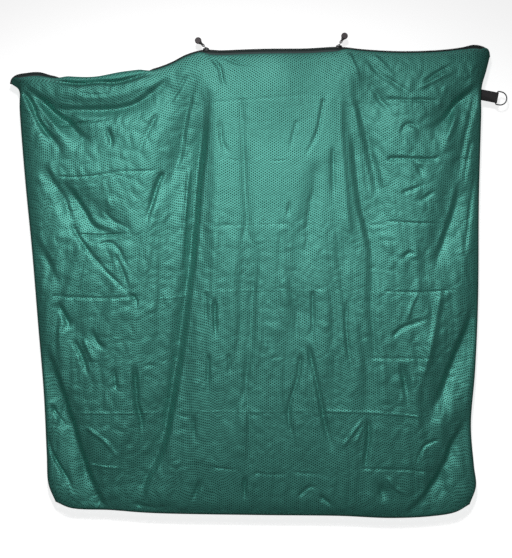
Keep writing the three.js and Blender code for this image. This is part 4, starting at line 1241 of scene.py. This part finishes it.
WALL_GLOW = 0.78  # leaves the shadow of the sack on the wall pale
STAGE_HALF = 4
KEY_PLACE, KEY_AIM, KEY_SPREAD, KEY_SOFT = (-0.12, -1.8, 0.55), (-0.1, 0, -0.92), 62, 0.15
KEY_BROAD = 1.35  # the key light's beam is wider than it is tall
REAR_PLACE, REAR_AIM, REAR_POWER, REAR_SIZE = (0.3, 2.2, 0.2), (0, 0, -0.5), 8, 1.5
SKY_STRENGTH = 0.08
VIEW_X, VIEW_Z = -0.0393, -0.5474
WALL_MIDDLE = -0.3


class SACK_OT_stage(bpy.types.Operator):
    """Sets up the wall, the floor, the light and the camera"""

    bl_idname = "sack.stage"
    bl_label = "Stage"

    def wall_material(self):
        """White painted wall, seen from its front only; where it is seen through the net it is coloured dark
        and does not glow, painted shade for the sack's shadow behind it.
        """
        material, tree, shader = new_material("white_wall")
        shader.inputs["Roughness"].default_value = 0.9
        shader.inputs["Emission Color"].default_value = (1, 1, 1, 1)
        # Painted shade: seen through the net, the wall is coloured dark and loses its glow, standing in for
        # the shadow behind the sack
        passed = add_node(tree, "ShaderNodeLightPath", {}).outputs["Transparent Depth"]
        bare = add_node(tree, "ShaderNodeMath", {0: passed, 1: 0.5}, operation="LESS_THAN").outputs["Value"]
        glow = add_node(tree, "ShaderNodeMath", {0: bare, 1: WALL_GLOW}, operation="MULTIPLY")
        tree.links.new(glow.outputs["Value"], shader.inputs["Emission Strength"])
        paint = add_node(tree, "ShaderNodeMix", {0: bare, 6: (*linear("101414"), 1),
                                                 7: (*linear("f4f4f4"), 1)}, data_type="RGBA")
        tree.links.new(paint.outputs[2], shader.inputs["Base Color"])
        side = add_node(tree, "ShaderNodeNewGeometry", {})
        clear = add_node(tree, "ShaderNodeBsdfTransparent", {})
        both = add_node(tree, "ShaderNodeMixShader", {0: side.outputs["Backfacing"],
                                                      1: shader.outputs["BSDF"], 2: clear.outputs["BSDF"]})
        tree.links.new(both.outputs["Shader"], tree.nodes["Material Output"].inputs["Surface"])
        return material

    def plane(self, name, matrix, material):
        bm = bmesh.new()
        bmesh.ops.create_grid(bm, x_segments=1, y_segments=1, size=STAGE_HALF, matrix=matrix)
        mesh = bpy.data.meshes.new(name)
        bm.to_mesh(mesh)
        bm.free()
        mesh.materials.append(material)
        plane = bpy.data.objects.new(name, mesh)
        bpy.context.scene.collection.objects.link(plane)
        return plane

    def light(self, name, kind, place, aim, **settings):
        data = bpy.data.lights.new(name, kind)
        for setting, value in settings.items():
            setattr(data, setting, value)
        lamp = bpy.data.objects.new(name, data)
        lamp.location = place
        lamp.rotation_euler = (Vector(aim) - Vector(place)).to_track_quat("-Z", "Y").to_euler()
        bpy.context.scene.collection.objects.link(lamp)
        return lamp

    def execute(self, context):
        settings = context.scene.sack_stage
        upright = Matrix.Rotation(math.pi / 2, 4, "X")
        behind = Matrix.Translation((0, settings.wall_gap, WALL_MIDDLE)) @ upright
        wall = self.plane("wall", behind, self.wall_material())
        wall.visible_shadow = False
        floor_paint = plain_material("pale_floor", linear("e8e8e6"), roughness=0.8)
        floor = self.plane("floor", Matrix.Translation((0, 0, -settings.floor_drop)), floor_paint)
        for backdrop in (wall, floor):
            backdrop.visible_diffuse = False
            backdrop.visible_glossy = False
        key = self.light("key", "SPOT", KEY_PLACE, KEY_AIM, energy=settings.key_power, spot_blend=1.0,
                         spot_size=math.radians(KEY_SPREAD), shadow_soft_size=KEY_SOFT)
        key.scale.x = KEY_BROAD
        rear = self.light("rear", "AREA", REAR_PLACE, REAR_AIM, energy=REAR_POWER, size=REAR_SIZE)
        camera_data = bpy.data.cameras.new("camera")
        camera_data.lens = settings.lens
        camera = bpy.data.objects.new("camera", camera_data)
        camera.location = (VIEW_X, -settings.camera_distance, VIEW_Z)
        camera.rotation_euler = (math.pi / 2, 0, 0)
        context.scene.collection.objects.link(camera)
        context.scene.camera = camera
        world = bpy.data.worlds.new("studio")
        world.use_nodes = True
        sky = world.node_tree.nodes["Background"]
        sky.inputs["Color"].default_value = (1, 1, 1, 1)
        sky.inputs["Strength"].default_value = SKY_STRENGTH
        context.scene.world = world
        context.scene.view_settings.view_transform = "Standard"
        context.scene.cycles.use_denoising = False  # it would wipe out the net's holes
        return {"FINISHED"}


class SACK_PT_panel(bpy.types.Panel):
    """Builds the sack and holds its settings"""

    bl_idname = "SACK_PT_panel"
    bl_label = "Carp sack"
    bl_space_type = "VIEW_3D"
    bl_region_type = "UI"
    bl_category = "Sack"

    def draw(self, context):
        for settings in (context.scene.sack_cloth, context.scene.sack_zip, context.scene.sack_fittings,
                         context.scene.sack_stage):
            box = self.layout.box()
            for name in settings.__annotations__:
                box.prop(settings, name)
        for operator in OPERATORS:
            self.layout.operator(operator.bl_idname)


SETTINGS = {"sack_cloth": SackClothSettings, "sack_zip": SackZipSettings,
            "sack_fittings": SackFittingSettings, "sack_stage": SackStageSettings}
OPERATORS = (SACK_OT_front_net, SACK_OT_back_net, SACK_OT_zip, SACK_OT_stitches, SACK_OT_sliders,
             SACK_OT_pulls, SACK_OT_side_tab, SACK_OT_stage)


def register():
    for kind in (*SETTINGS.values(), *OPERATORS, SACK_PT_panel):
        bpy.utils.register_class(kind)
    for name, kind in SETTINGS.items():
        setattr(bpy.types.Scene, name, PointerProperty(type=kind))


def unregister():
    for name in SETTINGS:
        delattr(bpy.types.Scene, name)
    for kind in reversed((*SETTINGS.values(), *OPERATORS, SACK_PT_panel)):
        bpy.utils.unregister_class(kind)


def main():
    register()
    bpy.ops.sack.front_net()
    bpy.ops.sack.back_net()
    bpy.ops.sack.zip()
    bpy.ops.sack.stitches()
    bpy.ops.sack.sliders()
    bpy.ops.sack.pulls()
    bpy.ops.sack.side_tab()
    bpy.ops.sack.stage()


if __name__ == "__main__":
    main()
